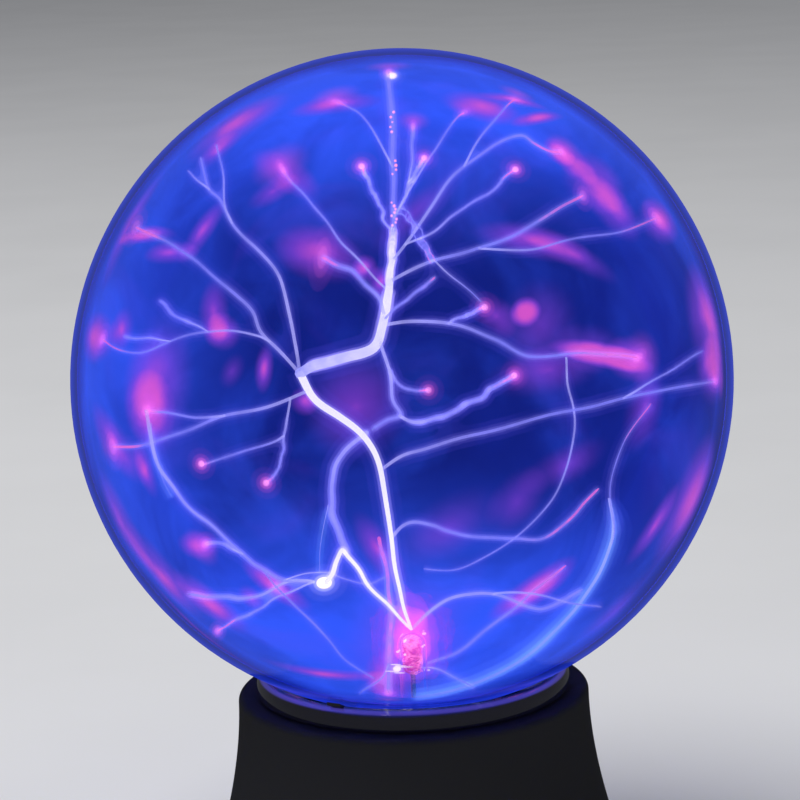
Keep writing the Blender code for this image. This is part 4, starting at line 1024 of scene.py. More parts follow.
class PLASMA_OT_globe(bpy.types.Operator):
    """Blow the glass globe with its neck"""

    bl_idname = "plasma_ball.globe"
    bl_label = "Glass Globe"

    def execute(self, context):
        def wall(offset):
            reach, fillet_radius = GLOBE_RADIUS + NECK_FILLET, NECK_RADIUS + NECK_FILLET
            drop = math.sqrt(reach**2 - fillet_radius**2)
            last = math.degrees(math.atan2(-drop, fillet_radius))
            sphere = arc((0, GLOBE_CENTRE.z), GLOBE_RADIUS - offset, 90, last, 72)
            sphere[0] = (0, sphere[0][1])
            fillet_centre = (fillet_radius, GLOBE_CENTRE.z - drop)
            fillet = arc(fillet_centre, NECK_FILLET + offset, last + 180, 180, 8)
            return sphere + fillet[1:]

        middle = NECK_RADIUS - GLASS_WALL / 2
        rim = arc((middle, NECK_BOTTOM_Z + GLASS_WALL / 2), GLASS_WALL / 2, 0, -180, 8)
        globe = turned("globe", wall(0) + rim + wall(GLASS_WALL)[::-1], 144)
        # The last colour is the blue of the painted glow at the glass's rim.
        glass = globe_glass("globe_glass", settings().globe.ripple, 22.0, (0.015, 0.07, 1.0))
        settle(globe, glass, ("glass_globe",), crease=60)
        return {"FINISHED"}


class PLASMA_OT_electrode(bpy.types.Operator):
    """Make the electrode tube, the steel wool in its tip and the rod below it"""

    bl_idname = "plasma_ball.electrode"
    bl_label = "Electrode"

    def execute(self, context):
        dome = ELECTRODE_TIP - ELECTRODE_RADIUS
        flare_top, flare_edge = 0.064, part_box("electrode_tube")[0].z
        spread = NECK_RADIUS - GLASS_WALL - GAP - ELECTRODE_RADIUS

        def side(inset):
            crown = arc((0, dome), ELECTRODE_RADIUS - inset, 90, 0, 12)
            crown[0] = (0, crown[0][1])
            turns = [math.radians(90 * i / 14) for i in range(15)]
            flare = [
                (ELECTRODE_RADIUS - inset + spread * (1 - math.cos(a)),
                 flare_top - inset - (flare_top - flare_edge - ELECTRODE_WALL) * math.sin(a))
                for a in turns
            ]
            return crown + flare

        tube_piece = turned("electrode", side(0) + side(ELECTRODE_WALL)[::-1], 64)
        settle(tube_piece, globe_glass("electrode_glass", 0.00003, 90.0), ("electrode_tube",),
               crease=60)
        self.make_wool(dome)
        refined("contact_rod", made_finish("brass"), 0.0001)
        return {"FINISHED"}

    def make_wool(self, dome):
        random.seed(settings().discharge.seed + 1)
        reach = ELECTRODE_RADIUS - ELECTRODE_WALL - GAP - 0.00012
        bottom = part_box("steel_wool")[0].z
        fibres = []
        for i in range(84):
            turn, rise = random.uniform(0, math.tau), random.uniform(bottom, dome)
            wide = reach * random.uniform(0.45, 1.0)
            seed = Vector([random.uniform(-40, 40) for _ in range(3)])
            line = []
            for k in range(22):
                angle = turn + k * random.choice((0.32, 0.40))
                height = rise + 0.0016 * math.sin(k * 0.5 + i) + k * 0.00012
                point = Vector((wide * math.cos(angle), wide * math.sin(angle), height))
                point += noise.noise_vector(point * 900 + seed) * 0.0008
                flat = point.xy.length
                limit = reach
                if point.z > dome:
                    limit = math.sqrt(max(reach**2 - (min(point.z, dome + reach * 0.96) - dome) ** 2, 0))
                    point.z = min(point.z, dome + reach * 0.96)
                if flat > limit:
                    point.x, point.y = point.x * limit / flat, point.y * limit / flat
                point.z = max(point.z, bottom + 0.0001)
                line.append(point)
            fibres.append(tube(f"fibre_{i}", line, [random.uniform(0.00005, 0.00009)] * 22, 0))
        wool = join(fibres, "wool")
        material, tree, surface = new_material("wool_steel")
        surface.inputs["Metallic"].default_value = 1.0
        place = object_place(tree)
        patches = add_node(tree, "TexNoise", {"Vector": place, "Scale": 380.0, "Detail": 2.0}).outputs["Fac"]
        colour = blend_colour(tree, ramp(tree, patches, 0.35, 0.65), (0.30, 0.26, 0.27, 1),
                              (0.55, 0.50, 0.50, 1))
        tree.links.new(colour, surface.inputs["Base Color"])
        tree.links.new(ramp(tree, patches, 0.3, 0.7, 0.3, 0.55), surface.inputs["Roughness"])
        # Painted glints: a pink and red emission in patches over the steel wool stands for the discharge's glow
        # glinting on it.
        glow = blend_colour(tree, ramp(tree, patches, 0.42, 0.62), (0.35, 0.0, 0.05, 1), (1.0, 0.25, 0.45, 1))
        tree.links.new(glow, surface.inputs["Emission Color"])
        surface.inputs["Emission Strength"].default_value = 0.9
        quiet(material)
        settle(wool, material, ("steel_wool",), crease=60)


class PLASMA_OT_wall_glow(bpy.types.Operator):
    """Fill the globe with the blue glow against its wall"""

    bl_idname = "plasma_ball.wall_glow"
    bl_label = "Wall Glow"

    def execute(self, context):
        lines = streamer_lines()
        settle(glow_ball("wall_glow", GAS_RADIUS, 160), wall_glow(lines), crease=80)
        limb = glowing_gas("limb_gas", (0.016, 0.045, 1.0), 1.3, 0.01)
        settle(shell_of_gas("limb_haze", GAS_RADIUS - 0.00015, 0.078), limb, crease=80)
        skin = glowing_gas("skin_gas", (0.026, 0.085, 1.0), 8.5, 0.01)
        settle(shell_of_gas("skin_haze", GAS_RADIUS - 0.0003, 0.0965), skin, crease=80)
        return {"FINISHED"}


class PLASMA_OT_streamers(bpy.types.Operator):
    """Draw the streamers, the glow round them and the brushes where they meet the glass"""

    bl_idname = "plasma_ball.streamers"
    bl_label = "Streamers"

    def execute(self, context):
        look = settings().discharge
        lines = streamer_lines()
        random.seed(look.seed + 2)
        cores = {"hot": [], "cool": []}
        for key, (kind, line) in lines.items():
            start, end = KINDS[kind][:2]
            last = len(line) - 1
            radii = [start + (end - start) * i / last for i in range(len(line))]
            if kind not in HOT_KINDS:
                radii = [r * (0.35 if i == last else 1) for i, r in enumerate(radii)]
            group = "hot" if kind in HOT_KINDS else "cool"
            shares = SHARES.get(key, (0, 1 if key in DOTS or key in FLAMES else 0.62))
            cores[group].append(tube(key, line, radii, 2, shares))
        hot = streamer_glow("hot_streamer", (1.0, 0.95, 1.0), tuple(look.streamer), (0.34, 0.34, 1.0), 0.85)
        cool = streamer_glow("cool_streamer", (0.48, 0.46, 1.0), (0.22, 0.22, 0.92), tuple(look.pink), 0.42)
        settle(join(cores["hot"], "trunk_streamers"), hot, crease=80)
        settle(join(cores["cool"], "branch_streamers"), cool, crease=80)

        thick, thin, pale = HOT_KINDS, ("branch", "thread", "soft", "wire", "column"), ("band", "veil")
        for name, column, spread, voxel, kinds, colour, strength in (
            ("trunk_halo", 2, 1.0, 0.0008, thick, (0.42, 0.36, 1.0), 90.0),
            ("trunk_mist", 3, 0.75, 0.0010, thick, (0.22, 0.18, 1.0), 14.0),
            ("trunk_haze", 3, 1.3, 0.0014, thick, (0.12, 0.09, 1.0), 4.0),
            ("branch_halo", 2, 0.85, 0.0008, thin, (0.32, 0.30, 1.0), 62.0),
            ("branch_mist", 3, 0.70, 0.0010, thin, (0.24, 0.20, 1.0), 14.0),
            ("branch_haze", 3, 1.2, 0.0014, thin, (0.12, 0.09, 1.0), 3.5),
            ("band_glow", 2, 0.8, 0.0009, pale, (0.26, 0.50, 1.0), 62.0),
            ("band_mist", 3, 0.8, 0.0010, pale, (0.20, 0.38, 1.0), 32.0),
            ("band_haze", 3, 1.35, 0.0014, pale, (0.10, 0.20, 1.0), 13.0),
            ("band_veil", 3, 2.1, 0.0016, pale, (0.06, 0.12, 1.0), 6.0),
        ):
            gas = glowing_gas(name + "_gas", colour, strength, 0.03)
            settle(glow_union(name, lines, column, spread, voxel, kinds, 0.0989), gas, crease=80)

        for name, ends, scale, thickness, colour, strength, skin in (
            ("dot_cores", DOTS, 0.34, 0.0008, (1.0, 0.34, 0.66), 380.0, 0.16),
            ("dot_glow", DOTS, 0.62, 0.0014, (1.0, 0.16, 0.58), 95.0, 0.05),
            ("dot_mist", DOTS, 1.0, 0.0020, (0.85, 0.10, 0.62), 30.0, 0.02),
            ("dot_haze", DOTS, 1.6, 0.0030, (0.50, 0.06, 0.70), 9.0, 0.01),
            ("flame_glow", FLAMES, 0.40, 0.0010, (1.0, 0.20, 0.60), 90.0, 0.05),
            ("flame_mist", FLAMES, 0.70, 0.0016, (0.90, 0.14, 0.66), 34.0, 0.03),
            ("flame_haze", FLAMES, 1.15, 0.0026, (0.56, 0.08, 0.74), 13.0, 0.01),
        ):
            piece = brushes(name, lines, ends, scale, thickness)
            hold_inside(piece, 0.0986)
            settle(piece, glowing_gas(name + "_gas", colour, strength, skin), crease=80)
        self.make_foot_glow()
        return {"FINISHED"}

    def make_foot_glow(self):
        """The hot pink glow round the electrode's tip."""
        random.seed(settings().discharge.seed + 3)
        tip = Vector((0, 0, ELECTRODE_TIP))
        for name, size, drop, colour, strength in (
            ("foot_veil", (0.0130, 0.0130, 0.0150), 0.002, (0.45, 0.06, 0.90), 4.0),
            ("foot_haze", (0.0088, 0.0088, 0.0130), 0.003, (0.75, 0.07, 0.72), 16.0),
            ("foot_glow", (0.0058, 0.0058, 0.0104), 0.003, (1.0, 0.09, 0.50), 62.0),
        ):
            clear_selection()
            place = tip - Vector((0, 0, drop))
            bpy.ops.mesh.primitive_uv_sphere_add(segments=40, ring_count=24, radius=1, location=place, scale=size)
            piece = name_piece(name)
            bpy.ops.object.transform_apply(location=True, scale=True)
            for vertex in piece.data.vertices:
                vertex.co += (vertex.co - place) * 0.34 * noise.noise(vertex.co * 190)
            settle(piece, glowing_gas(name + "_gas", colour, strength, 0.10, 300.0), crease=80)
        sparks = []
        for i in range(12):
            turn = random.uniform(0, math.tau)
            height = tip.z - random.uniform(0.0004, 0.0135)
            wide = ELECTRODE_RADIUS + 0.0004 if height < tip.z - ELECTRODE_RADIUS else 0.0040
            place = Vector((wide * math.cos(turn), wide * math.sin(turn), height))
            size = random.uniform(0.00018, 0.00052)
            sparks.append(flat_patch(f"spark_{i}", place, Vector((0, 0, 1)), size * 1.6, size, size))
        for i, (right, up, away, size) in enumerate(HOT_SPOTS):
            sparks.append(
                flat_patch(f"hot_{i}", globe_point(right, up, away), RIGHT + UP * 0.4, size * 1.4, size, size)
            )
        star = globe_point(*HOT_SPOTS[-1][:3])
        for i, (right, up, length) in enumerate(STAR_RAYS):
            ray = (RIGHT * right + UP * up).normalized()
            sparks.append(flat_patch(f"ray_{i}", star + ray * length * 0.8, ray, length, 0.00022, 0.00022))
        settle(join(sparks, "foot_sparks"), glowing_gas("spark_gas", (1.0, 0.80, 0.95), 480.0, 0.5),
               crease=80)
        for name, swell, colour, strength in (
            ("hot_glow", 1.5, (0.80, 0.76, 1.0), 90.0), ("hot_mist", 2.2, (0.50, 0.48, 1.0), 26.0),
            ("hot_haze", 3.2, (0.30, 0.28, 1.0), 8.0),
        ):
            halos = [
                flat_patch(f"{name}_{i}", globe_point(*place), RIGHT + UP * 0.4, size * swell * 1.3,
                           size * swell, size * swell)
                for i, (*place, size) in enumerate(HOT_SPOTS)
            ]
            settle(join(halos, name), glowing_gas(name + "_gas", colour, strength, 0.02), crease=80)
        strung = streamer_lines()["trunk_top"][1]
        beads = []
        for i, up in enumerate(BEADS):
            near = min(strung, key=lambda p: abs(as_seen(p)[1] - up))
            right = as_seen(near)[0] + random.uniform(-0.008, 0.010)
            place = globe_point(right, up, depth_of(near) - 0.035)
            size = random.uniform(0.00035, 0.00055)
            beads.append(flat_patch(f"bead_{i}", place, UP, size * 1.2, size, size))
        settle(join(beads, "trunk_beads"), glowing_gas("bead_gas", (1.0, 0.30, 0.36), 900.0, 0.5),
               crease=80)


def below_globe(offset, radius):
    """The height of the globe's underside, moved out by an offset."""
    return GLOBE_CENTRE.z - math.sqrt((GLOBE_RADIUS + offset) ** 2 - radius**2)


def globe_band(name, near, far, inner, outer, steps=8, turns=96):
    radii = [inner + (outer - inner) * i / steps for i in range(steps + 1)]
    upper = [(r, below_globe(near, r)) for r in radii]
    lower = [(r, below_globe(far, r)) for r in reversed(radii)]
    return turned(name, [*upper, *lower, upper[0]], turns)


def slab(name, angle, width):
    """A tall narrow cutter that reaches out from the axis."""
    piece = block(name, (0, -width / 2, -REACH), (REACH, width / 2, REACH))
    turn_about_axis(piece, angle)
    return piece


class PLASMA_OT_collar(bpy.types.Operator):
    """Turn the glossy collar that the globe sits in, with its pad notches and hooks"""

    bl_idname = "plasma_ball.collar"
    bl_label = "Collar Ring"

    def execute(self, context):
        rest = DECK_Z + GAP
        skirt_bottom = 0.072
        wall = LIP_CENTRE[0] + LIP_ROUND
        radii = [SKIRT_INNER + (0.0443 - SKIRT_INNER) * i / 8 for i in range(9)]
        dish = [(r, below_globe(DISH_OFFSET, r)) for r in radii]
        lip = arc(LIP_CENTRE, LIP_ROUND, 66, 0, 16)
        outline = [
            *lip, (wall, rest + 0.0006), (wall - 0.0004, rest), (SKIRT_OUTER, rest),
            (SKIRT_OUTER, skirt_bottom + 0.0004), (SKIRT_OUTER - 0.0004, skirt_bottom),
            (SKIRT_INNER + 0.0004, skirt_bottom), (SKIRT_INNER, skirt_bottom + 0.0004), *dish,
            (0.0449, below_globe(0.0006, 0.0449)), lip[0],
        ]
        collar = turned("collar", outline, settings().base.segments)
        under_deck = DECK_Z - HOUSING_WALL
        for angle in (30, 150, 270):
            hook = block("hook", (SKIRT_INNER + 0.0005, -0.004, under_deck - 0.003),
                         (DECK_HOLE_RADIUS + 0.0018, 0.004, under_deck - GAP))
            turn_about_axis(hook, angle)
            combine(collar, hook, "UNION")
        for angle in (0, 120, 240):
            notch = globe_band("notch", -0.001, DISH_OFFSET, 0.0385, 0.0500)
            combine(notch, slab("notch_width", angle, PAD_WIDTH + 2 * GAP), "INTERSECT")
            combine(collar, notch)
        settle(collar, collar_gloss_and_painted_reflection(), ("collar_ring",), crease=32)
        for i, angle in enumerate((0, 120, 240)):
            pad = globe_band("pad", GAP, DISH_OFFSET - GAP, 0.0390, 0.0486)
            combine(pad, slab("pad_width", angle, PAD_WIDTH), "INTERSECT")
            pad.name = pad.data.name = f"pad_{i + 1}"
            soften(pad, 0.00015)
            settle(pad, made_finish("rubber"), (f"cushion_pad_{i + 1}",))
        return {"FINISHED"}


class PLASMA_OT_neck_mounting(bpy.types.Operator):
    """Make the rubber grommet, the steel bracket and the silicone boot under the globe"""

    bl_idname = "plasma_ball.neck_mounting"
    bl_label = "Neck Mounting"

    def execute(self, context):
        low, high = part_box("neck_bracket")[0].z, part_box("neck_bracket")[1].z
        web, flange, neck, round_edge = 0.0232, 0.027, NECK_RADIUS + GAP, 0.0006
        outline = [
            *arc((flange - round_edge, high + 0.0025 - round_edge), round_edge, 90, 0, 4),
            (flange, high + GAP), (web, high + GAP), (web, low - GAP), (flange, low - GAP),
            *arc((flange - round_edge, low - 0.0025 + round_edge), round_edge, 0, -90, 4),
            (neck, low - 0.0025), (neck, high + 0.0025),
        ]
        grommet = turned("grommet", [*outline, outline[0]], 96)
        settle(grommet, made_finish("rubber"), ("neck_grommet",))
        refined("neck_bracket", made_finish("zinc_steel"), 0.0003)

        bottom, top, bore, rod_bottom = 0.0460, 0.062, 0.0011, 0.0495
        boot = turned("boot", [
            (0, rod_bottom), (bore, rod_bottom), (bore, top), (0.0026, top), (0.0030, top - 0.0004),
            (0.0030, 0.0590), (0.0033, 0.0587), (0.0033, 0.0581), (0.0030, 0.0578), (0.0030, 0.0565),
            (0.0045, 0.0550), (0.0072, 0.0541), (0.0090, 0.0532), (0.0090, 0.0475),
            (0.0086, 0.0466), (0.0075, bottom), (0, bottom),
        ], 64)
        settle(boot, made_finish("silicone"), ("hv_boot",))
        return {"FINISHED"}


def flare_radius(z):
    top = DECK_Z - DECK_FILLET
    share = (top - z) / (top - BASE_BOTTOM_Z)
    return DECK_RADIUS + (FOOT_FLARE_RADIUS - DECK_RADIUS) * max(share, 0) ** FLARE_POWER


def base_form(name, inset, top, bottom, facet_y):
    """The base's form as a solid, drawn in by an inset and cut flat at the rear."""
    start = min(top, DECK_Z - DECK_FILLET)
    heights = [start + (max(bottom, BASE_BOTTOM_Z) - start) * i / 26 for i in range(27)]
    sides = [(flare_radius(z) - inset, z) for z in heights]
    if inset == 0:
        sides = arc((DECK_RADIUS - DECK_FILLET, DECK_Z - DECK_FILLET), DECK_FILLET, 90, 0, 8)[:-1] + sides
        sides[-1:] = [(sides[-1][0], bottom + 0.0005), (sides[-1][0] - 0.0005, bottom)]
    else:
        sides = [(flare_radius(start) - inset, top), *sides[1:-1], (sides[-1][0], bottom)]
    crown = [(0, top)]
    form = turned(name, [*crown, *sides, (0, bottom)], settings().base.segments)
    return combine(form, block(name + "_facet", (-REACH, facet_y, -REACH), (REACH, REACH, REACH)))


COVER_SCREWS, BRACKET_SCREWS = (20, 160, 240, 300), (90, 210, 330)


class PLASMA_OT_housing(bpy.types.Operator):
    """Mould the base housing with its deck, bosses, ribs and rear openings"""

    bl_idname = "plasma_ball.housing"
    bl_label = "Base Housing"

    def execute(self, context):
        middle = HOUSING_WALL / 2
        under_deck = DECK_Z - HOUSING_WALL
        housing = base_form("housing", 0, DECK_Z, BASE_BOTTOM_Z, FACET_Y)
        combine(housing, base_form("cavity", HOUSING_WALL, under_deck, BASE_BOTTOM_Z - 0.002, FACET_INNER_Y))
        combine(housing, rod("deck_hole", DECK_HOLE_RADIUS, (0, 0, 0.07), (0, 0, 0.09), sides=128))
        boss_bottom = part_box("bottom_cover")[0].z + 0.0028
        for angle in COVER_SCREWS:
            x, y = around(angle, 0.060)
            boss = rod("cover_boss", 0.0038, (x, y, boss_bottom), (x, y, 0.036), sides=40)
            rib = block("cover_rib", (0.062, -0.001, boss_bottom + 0.004), (0.074, 0.001, 0.030))
            turn_about_axis(rib, angle)
            for piece in (boss, rib):
                limit = base_form("boss_limit", middle, DECK_Z - middle, BASE_BOTTOM_Z, FACET_Y - middle)
                combine(piece, limit, "INTERSECT")
                combine(housing, piece, "UNION")
            combine(housing, rod("pilot", 0.0017, (x, y, 0), (x, y, 0.020), sides=24))
        for angle in BRACKET_SCREWS:
            x, y = around(angle, 0.043)
            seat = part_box("neck_bracket")[1].z + GAP
            combine(housing, rod("deck_boss", 0.0036, (x, y, seat), (x, y, DECK_Z - middle), sides=40), "UNION")
            combine(housing, rod("pilot", 0.0017, (x, y, seat - 0.01), (x, y, 0.0760), sides=24))
        low, high = FACET_INNER_Y - 0.005, FACET_Y + 0.005
        combine(housing, block("switch_slot", (-0.0195, low, 0.016), (-0.0085, high, 0.020)))
        combine(housing, rod("jack_hole", 0.0052, (0.014, low, 0.0202), (0.014, high, 0.0202), "Y", 48))
        combine(housing, rod("sound_hole", 0.0011, (0, low, 0.033), (0, high, 0.033), "Y", 24))
        material = kept("housing_plastic", lambda: finish("housing_plastic", **{
            **FINISHES["satin_plastic"], "colour": tuple(settings().base.housing)}))
        settle(housing, material, ("base_housing",), crease=30)
        return {"FINISHED"}


BOARD_HOLES = ((-0.030, -0.011), (0.030, -0.011), (-0.030, 0.049), (0.030, 0.049))
FOOT_PLACES = [(sx * 0.042, sy * 0.042) for sx, sy in ((-1, -1), (1, -1), (-1, 1), (1, 1))]


class PLASMA_OT_cover(bpy.types.Operator):
    """Mould the bottom cover with its standoffs, recesses and vents, and the rubber feet"""

    bl_idname = "plasma_ball.cover"
    bl_label = "Bottom Cover and Feet"

    def execute(self, context):
        low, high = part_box("bottom_cover")[0].z, BASE_BOTTOM_Z + 0.0025
        outline = [
            (0, high), (0.0694, high), (0.0698, high - 0.0004), (0.0698, low + 0.0004), (0.0694, low),
            (0, low),
        ]
        cover = turned("cover", outline, settings().base.segments)
        edge = FACET_INNER_Y - GAP
        combine(cover, block("cover_facet", (-REACH, edge, -REACH), (REACH, REACH, REACH)))
        standoff_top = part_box("circuit_board")[0].z - GAP
        for x, y in BOARD_HOLES:
            combine(cover, rod("standoff", 0.0034, (x, y, high - 0.001), (x, y, standoff_top)), "UNION")
            combine(cover, rod("pilot", 0.0016, (x, y, high), (x, y, 0.02), sides=24))
        for angle in COVER_SCREWS:
            x, y = around(angle, 0.060)
            combine(cover, rod("hole", 0.0018, (x, y, 0), (x, y, 0.01), sides=24))
            combine(cover, rod("recess", 0.0036, (x, y, 0), (x, y, low + 0.0012)))
        for x, y in FOOT_PLACES:
            combine(cover, rod("foot_hole", 0.0028, (x, y, 0), (x, y, 0.01)))
        for i in range(7):
            x = (i - 3) * 0.006
            vent = block("vent", (x - 0.0012, -0.050, 0), (x + 0.0012, -0.026, 0.01))
            combine(cover, vent)
        soften(cover, 0.00015, 1)
        settle(cover, made_finish("satin_plastic"), ("bottom_cover",), crease=30)
        self.make_feet()
        return {"FINISHED"}

    def make_feet(self):
        top, radius = BASE_BOTTOM_Z - GAP, 0.007
        for i, place in enumerate(FOOT_PLACES):
            foot = turned(f"foot_{i + 1}", [
                (0, 0.0068), (0.0015, 0.0068), (0.0019, 0.0066), (0.0024, 0.0060), (0.0024, top),
                (radius - 0.0002, top), (radius, top - 0.0002), *arc((radius - 0.0008, 0.0008), 0.0008, 0, -90, 5),
                (0.0042, 0), (0.0038, 0.0003), (0, 0.0003),
            ], 48)
            choose(foot)
            bpy.ops.transform.translate(value=(*place, 0))
            settle(foot, made_finish("rubber"), (f"rubber_foot_{i + 1}",))


def make_screw(length, head_radius):
    """A pan-head screw with a cross recess and a thread, its crown at the origin and its point down."""
    head, shank, pitch = 0.0016, 0.0012, 0.0006
    outline = [
        (0, 0), (head_radius * 0.55, 0), (head_radius * 0.78, -head * 0.08),
        (head_radius * 0.93, -head * 0.25), (head_radius, -head * 0.5), (head_radius, -head),
        (shank, -head),
    ]
    turns = int((length - 0.002) / pitch)
    for i in range(turns):
        z = -head - 0.0003 - i * pitch
        outline += [(shank - 0.00015, z), (shank, z - pitch * 0.4), (shank, z - pitch * 0.55)]
    outline += [(shank * 0.8, -head - length + 0.0013), (0.0003, -head - length), (0, -head - length)]
    screw = turned("screw", outline, 32)
    arm, web = 0.0016, 0.00035
    for half_x, half_y in ((arm, web), (web, arm)):
        combine(screw, block("recess", (-half_x, -half_y, -head * 0.55), (half_x, half_y, 0.001)))
    return screw


class PLASMA_OT_screws(bpy.types.Operator):
    """Make each size of screw once and copy it to its places"""

    bl_idname = "plasma_ball.screws"
    bl_label = "Screws"

    def execute(self, context):
        down, flat = Matrix.Rotation(math.pi, 4, "X"), Matrix.Rotation(-math.pi / 2, 4, "Y")
        upright = Matrix.Identity(4)
        for stem, count, length, head_radius, turn in (
            ("bracket_screw", 3, 0.0110, 0.0030, down), ("cover_screw", 4, 0.0125, 0.0030, down),
            ("board_screw", 4, 0.0075, 0.0026, upright), ("transistor_screw", 0, 0.0060, 0.0026, flat),
        ):
            pattern = make_screw(length, head_radius)
            nodes = [f"{stem}_{i + 1}" for i in range(count)] or [stem]
            for i, node in enumerate(nodes):
                low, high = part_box(node)
                middle = (low + high) / 2
                crown = {"bracket_screw": (middle.x, middle.y, low.z), "cover_screw": (middle.x, middle.y, low.z),
                         "board_screw": (middle.x, middle.y, high.z)}.get(stem, (low.x, middle.y, middle.z))
                copy = bpy.data.objects.new(node + "_piece", pattern.data.copy())
                context.scene.collection.objects.link(copy)
                spin = Matrix.Rotation(0.7 * i + 0.3, 4, "Z")
                copy.data.transform(Matrix.Translation(crown) @ turn @ spin)
                settle(copy, made_finish("screw_steel"), (node,), crease=32)
            bpy.data.objects.remove(pattern)
        return {"FINISHED"}


class PLASMA_OT_transformer(bpy.types.Operator):
    """Wind the high-voltage transformer on its bobbin and ferrite core"""

    bl_idname = "plasma_ball.transformer"
    bl_label = "Transformer"

    def execute(self, context):
        for node in ("transformer_core_lower", "transformer_core_upper"):
            refined(node, made_finish("ferrite"), 0.0004)
        refined("transformer_bobbin", made_finish("bobbin_nylon"), 0.0002)
        low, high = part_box("transformer_winding")
        middle = (low + high) / 2
        outer, inner = (high.x - low.x) / 2, 0.0061
        turns = 16
        pitch = (high.z - low.z) / turns
        outline = [(inner, high.z)]
        for i in range(turns):
            centre = (outer - pitch / 2, high.z - pitch * (i + 0.5))
            outline += arc(centre, pitch / 2, 85, -85, 5)
        outline += [(inner, low.z), (inner, high.z)]
        winding = turned("winding", outline, 72, (middle.x, middle.y))
        settle(winding, made_finish("enamelled_copper"), ("transformer_winding",), crease=50)
        return {"FINISHED"}


def can(name, node):
    """A capacitor: a sleeved can with a bare top, pressed vents and a rolled foot."""
    low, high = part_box(node)
    middle = (low + high) / 2
    radius = (high.x - low.x) / 2
    piece = turned(name, [
        (0, high.z - 0.0003), (radius * 0.70, high.z - 0.0003), (radius * 0.76, high.z),
        (radius - 0.0006, high.z), (radius - 0.0001, high.z - 0.0004), (radius, high.z - 0.0008),
        (radius, low.z + 0.0030), (radius - 0.0004, low.z + 0.0022), (radius, low.z + 0.0014),
        (radius, low.z + 0.0003), (radius - 0.0003, low.z), (0, low.z),
    ], 56, (middle.x, middle.y))
    for half_x, half_y in ((radius * 0.55, 0.00012), (0.00012, radius * 0.55)):
        combine(piece, block("score", (middle.x - half_x, middle.y - half_y, high.z - 0.0005),
                             (middle.x + half_x, middle.y + half_y, high.z + 0.001)))
    return settle(piece, made_finish("capacitor_sleeve"), (node,))


class PLASMA_OT_board(bpy.types.Operator):
    """Fit out the circuit board with its driver parts"""

    bl_idname = "plasma_ball.board"
    bl_label = "Circuit Board"

    def execute(self, context):
        refined("circuit_board", board_finish(), 0.0001)
        refined("heat_sink", made_finish("brushed_aluminium"), 0.00015)
        refined("power_transistor", made_finish("chip_epoxy"), 0.0002)
        refined("control_chip", made_finish("chip_epoxy"), 0.0001)
        can("filter_can", "filter_capacitor")
        can("supply_can", "supply_capacitor")
        return {"FINISHED"}


class PLASMA_OT_rear_fittings(bpy.types.Operator):
    """Make the supply socket, the mode switch with its knob and the microphone"""

    bl_idname = "plasma_ball.rear_fittings"
    bl_label = "Rear Fittings"

    def execute(self, context):
        refined("dc_jack", made_finish("socket_plastic"), 0.0003)
        refined("dc_jack_pin", made_finish("brass"), 0.00015)
        refined("mode_switch_body", made_finish("zinc_steel"), 0.0003)
        refined("microphone", made_finish("brushed_aluminium"), 0.00015)
        refined("microphone_sleeve", made_finish("rubber"), 0.0002)
        self.make_knob()
        return {"FINISHED"}

    def make_knob(self):
        """The slide knob with ridges across its face."""
        low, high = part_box("mode_switch_knob")
        knob = block("knob", low, high)
        for i in range(3):
            x = low.x + (high.x - low.x) * (i + 1) / 4
            combine(knob, block("groove", (x - 0.00022, high.y - 0.0005, low.z - 0.001),
                                (x + 0.00022, high.y + 0.001, high.z + 0.001)))
        soften(knob, 0.0002, 3)
        settle(knob, made_finish("knob_plastic"), ("mode_switch_knob",), body="switch_knob")


class PLASMA_OT_wiring(bpy.types.Operator):
    """Lay the high-voltage lead and the microphone's leads"""

    bl_idname = "plasma_ball.wiring"
    bl_label = "Wiring"

    def execute(self, context):
        refined("hv_lead", made_finish("lead_red"), 0)
        refined("microphone_lead_1", made_finish("lead_red"), 0)
        refined("microphone_lead_2", made_finish("lead_black"), 0)
        return {"FINISHED"}


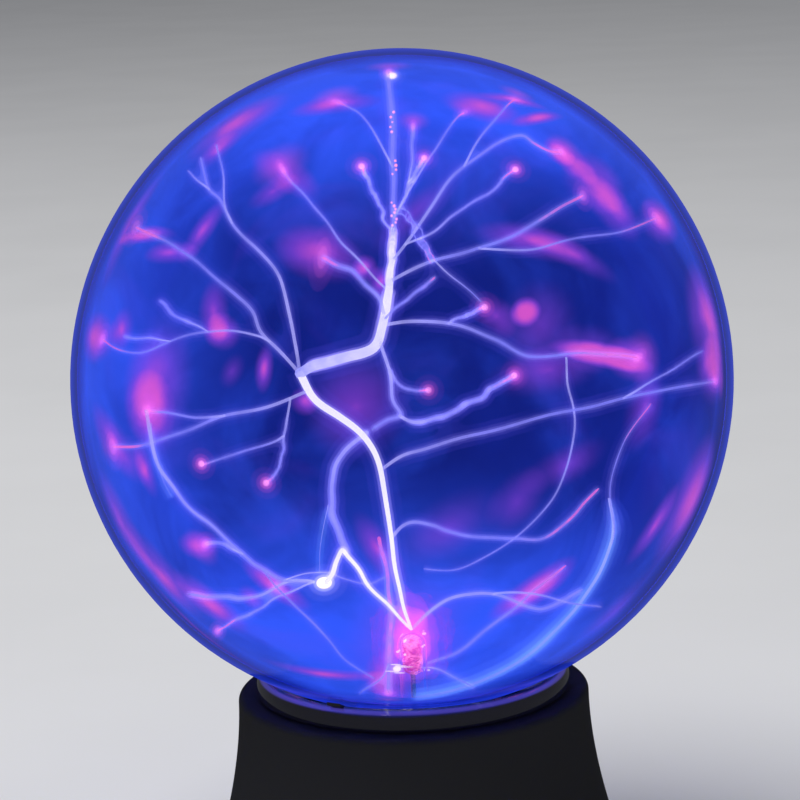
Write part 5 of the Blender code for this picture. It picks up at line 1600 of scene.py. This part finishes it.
class PLASMA_OT_stage(bpy.types.Operator):
    """Set the plain floor, the soft light and the camera"""

    bl_idname = "plasma_ball.stage"
    bl_label = "Stage"

    def execute(self, context):
        look = settings().stage
        clear_selection()
        bpy.ops.mesh.primitive_circle_add(vertices=96, radius=9, fill_type="NGON", location=(0, 0, 0))
        floor = name_piece("floor")
        material, tree, surface = new_material("floor_paper")
        grain = add_node(tree, "TexNoise", {"Vector": object_place(tree), "Scale": 6.0, "Detail": 4.0}).outputs["Fac"]
        colour = blend_colour(tree, ramp(tree, grain, 0.3, 0.7), opaque(look.floor),
                              opaque([0.97 * c for c in look.floor]))
        tree.links.new(colour, surface.inputs["Base Color"])
        surface.inputs["Roughness"].default_value = 0.9
        surface.inputs["Specular IOR Level"].default_value = 0.2
        floor.data.materials.append(material)
        floor.visible_glossy = floor.visible_transmission = False

        world = context.scene.world or bpy.data.worlds.new("room")
        context.scene.world = world
        world.use_nodes = True
        world.node_tree.nodes["Background"].inputs["Color"].default_value = (0.93, 0.95, 1.0, 1.0)
        path = add_node(world.node_tree, "LightPath").outputs
        shiny = add_node(
            world.node_tree, "Math", {0: path["Is Glossy Ray"], 1: path["Is Transmission Ray"]},
            operation="MAXIMUM",
        ).outputs[0]
        room = ramp(world.node_tree, shiny, 0.0, 1.0, look.sky, look.sky * 0.28)
        world.node_tree.links.new(room, world.node_tree.nodes["Background"].inputs["Strength"])
        bpy.ops.object.light_add(type="AREA", location=(-1.0, -0.7, 3.4))
        soft_box = bpy.context.object
        soft_box.name = "soft_box"
        soft_box.data.shape = "DISK"
        soft_box.data.size = 3.0
        soft_box.data.energy = look.lamp
        soft_box.visible_glossy = soft_box.visible_transmission = False
        soft_box.rotation_euler = (GLOBE_CENTRE - soft_box.location).to_track_quat("-Z", "Y").to_euler()
        self.set_camera(context, look)
        context.scene.view_settings.view_transform = "Standard"
        context.scene.cycles.transparent_max_bounces = 96
        return {"FINISHED"}

    def set_camera(self, context, look):
        place = GLOBE_CENTRE - AWAY * LOOK_DISTANCE
        aim = (GLOBE_CENTRE - 0.0061 * UP - 0.0006 * RIGHT - place).normalized()
        right = aim.cross(UP).normalized()
        axes = Matrix((right, right.cross(aim), -aim)).transposed().to_4x4()
        data = bpy.data.cameras.new("camera")
        data.lens = look.lens
        camera = bpy.data.objects.new("camera", data)
        context.scene.collection.objects.link(camera)
        camera.matrix_world = Matrix.Translation(place) @ axes
        context.scene.camera = camera


OPERATORS = (
    PLASMA_OT_globe,
    PLASMA_OT_electrode,
    PLASMA_OT_wall_glow,
    PLASMA_OT_streamers,
    PLASMA_OT_collar,
    PLASMA_OT_neck_mounting,
    PLASMA_OT_housing,
    PLASMA_OT_cover,
    PLASMA_OT_screws,
    PLASMA_OT_transformer,
    PLASMA_OT_board,
    PLASMA_OT_rear_fittings,
    PLASMA_OT_wiring,
    PLASMA_OT_stage,
)


class PLASMA_PT_panel(bpy.types.Panel):
    """Lists the settings and the pieces"""

    bl_label = "Plasma Ball"
    bl_idname = "PLASMA_PT_panel"
    bl_space_type = "VIEW_3D"
    bl_region_type = "UI"
    bl_category = "Plasma Ball"

    def draw(self, context):
        look = context.scene.plasma_ball
        for group in (look.globe, look.discharge, look.base, look.stage):
            box = self.layout.box()
            for key in group.__annotations__:
                box.prop(group, key)
        for operator in OPERATORS:
            self.layout.operator(operator.bl_idname)


CLASSES = (
    GlobeSettings, DischargeSettings, BaseSettings, StageSettings, PlasmaBallSettings, *OPERATORS,
    PLASMA_PT_panel,
)


def register():
    for cls in CLASSES:
        bpy.utils.register_class(cls)
    bpy.types.Scene.plasma_ball = PointerProperty(type=PlasmaBallSettings)


def unregister():
    del bpy.types.Scene.plasma_ball
    for cls in reversed(CLASSES):
        bpy.utils.unregister_class(cls)


def main():
    register()
    bpy.ops.plasma_ball.globe()
    bpy.ops.plasma_ball.electrode()
    bpy.ops.plasma_ball.wall_glow()
    bpy.ops.plasma_ball.streamers()
    bpy.ops.plasma_ball.collar()
    bpy.ops.plasma_ball.neck_mounting()
    bpy.ops.plasma_ball.housing()
    bpy.ops.plasma_ball.cover()
    bpy.ops.plasma_ball.screws()
    bpy.ops.plasma_ball.transformer()
    bpy.ops.plasma_ball.board()
    bpy.ops.plasma_ball.rear_fittings()
    bpy.ops.plasma_ball.wiring()
    bpy.ops.plasma_ball.stage()


if __name__ == "__main__":
    main()
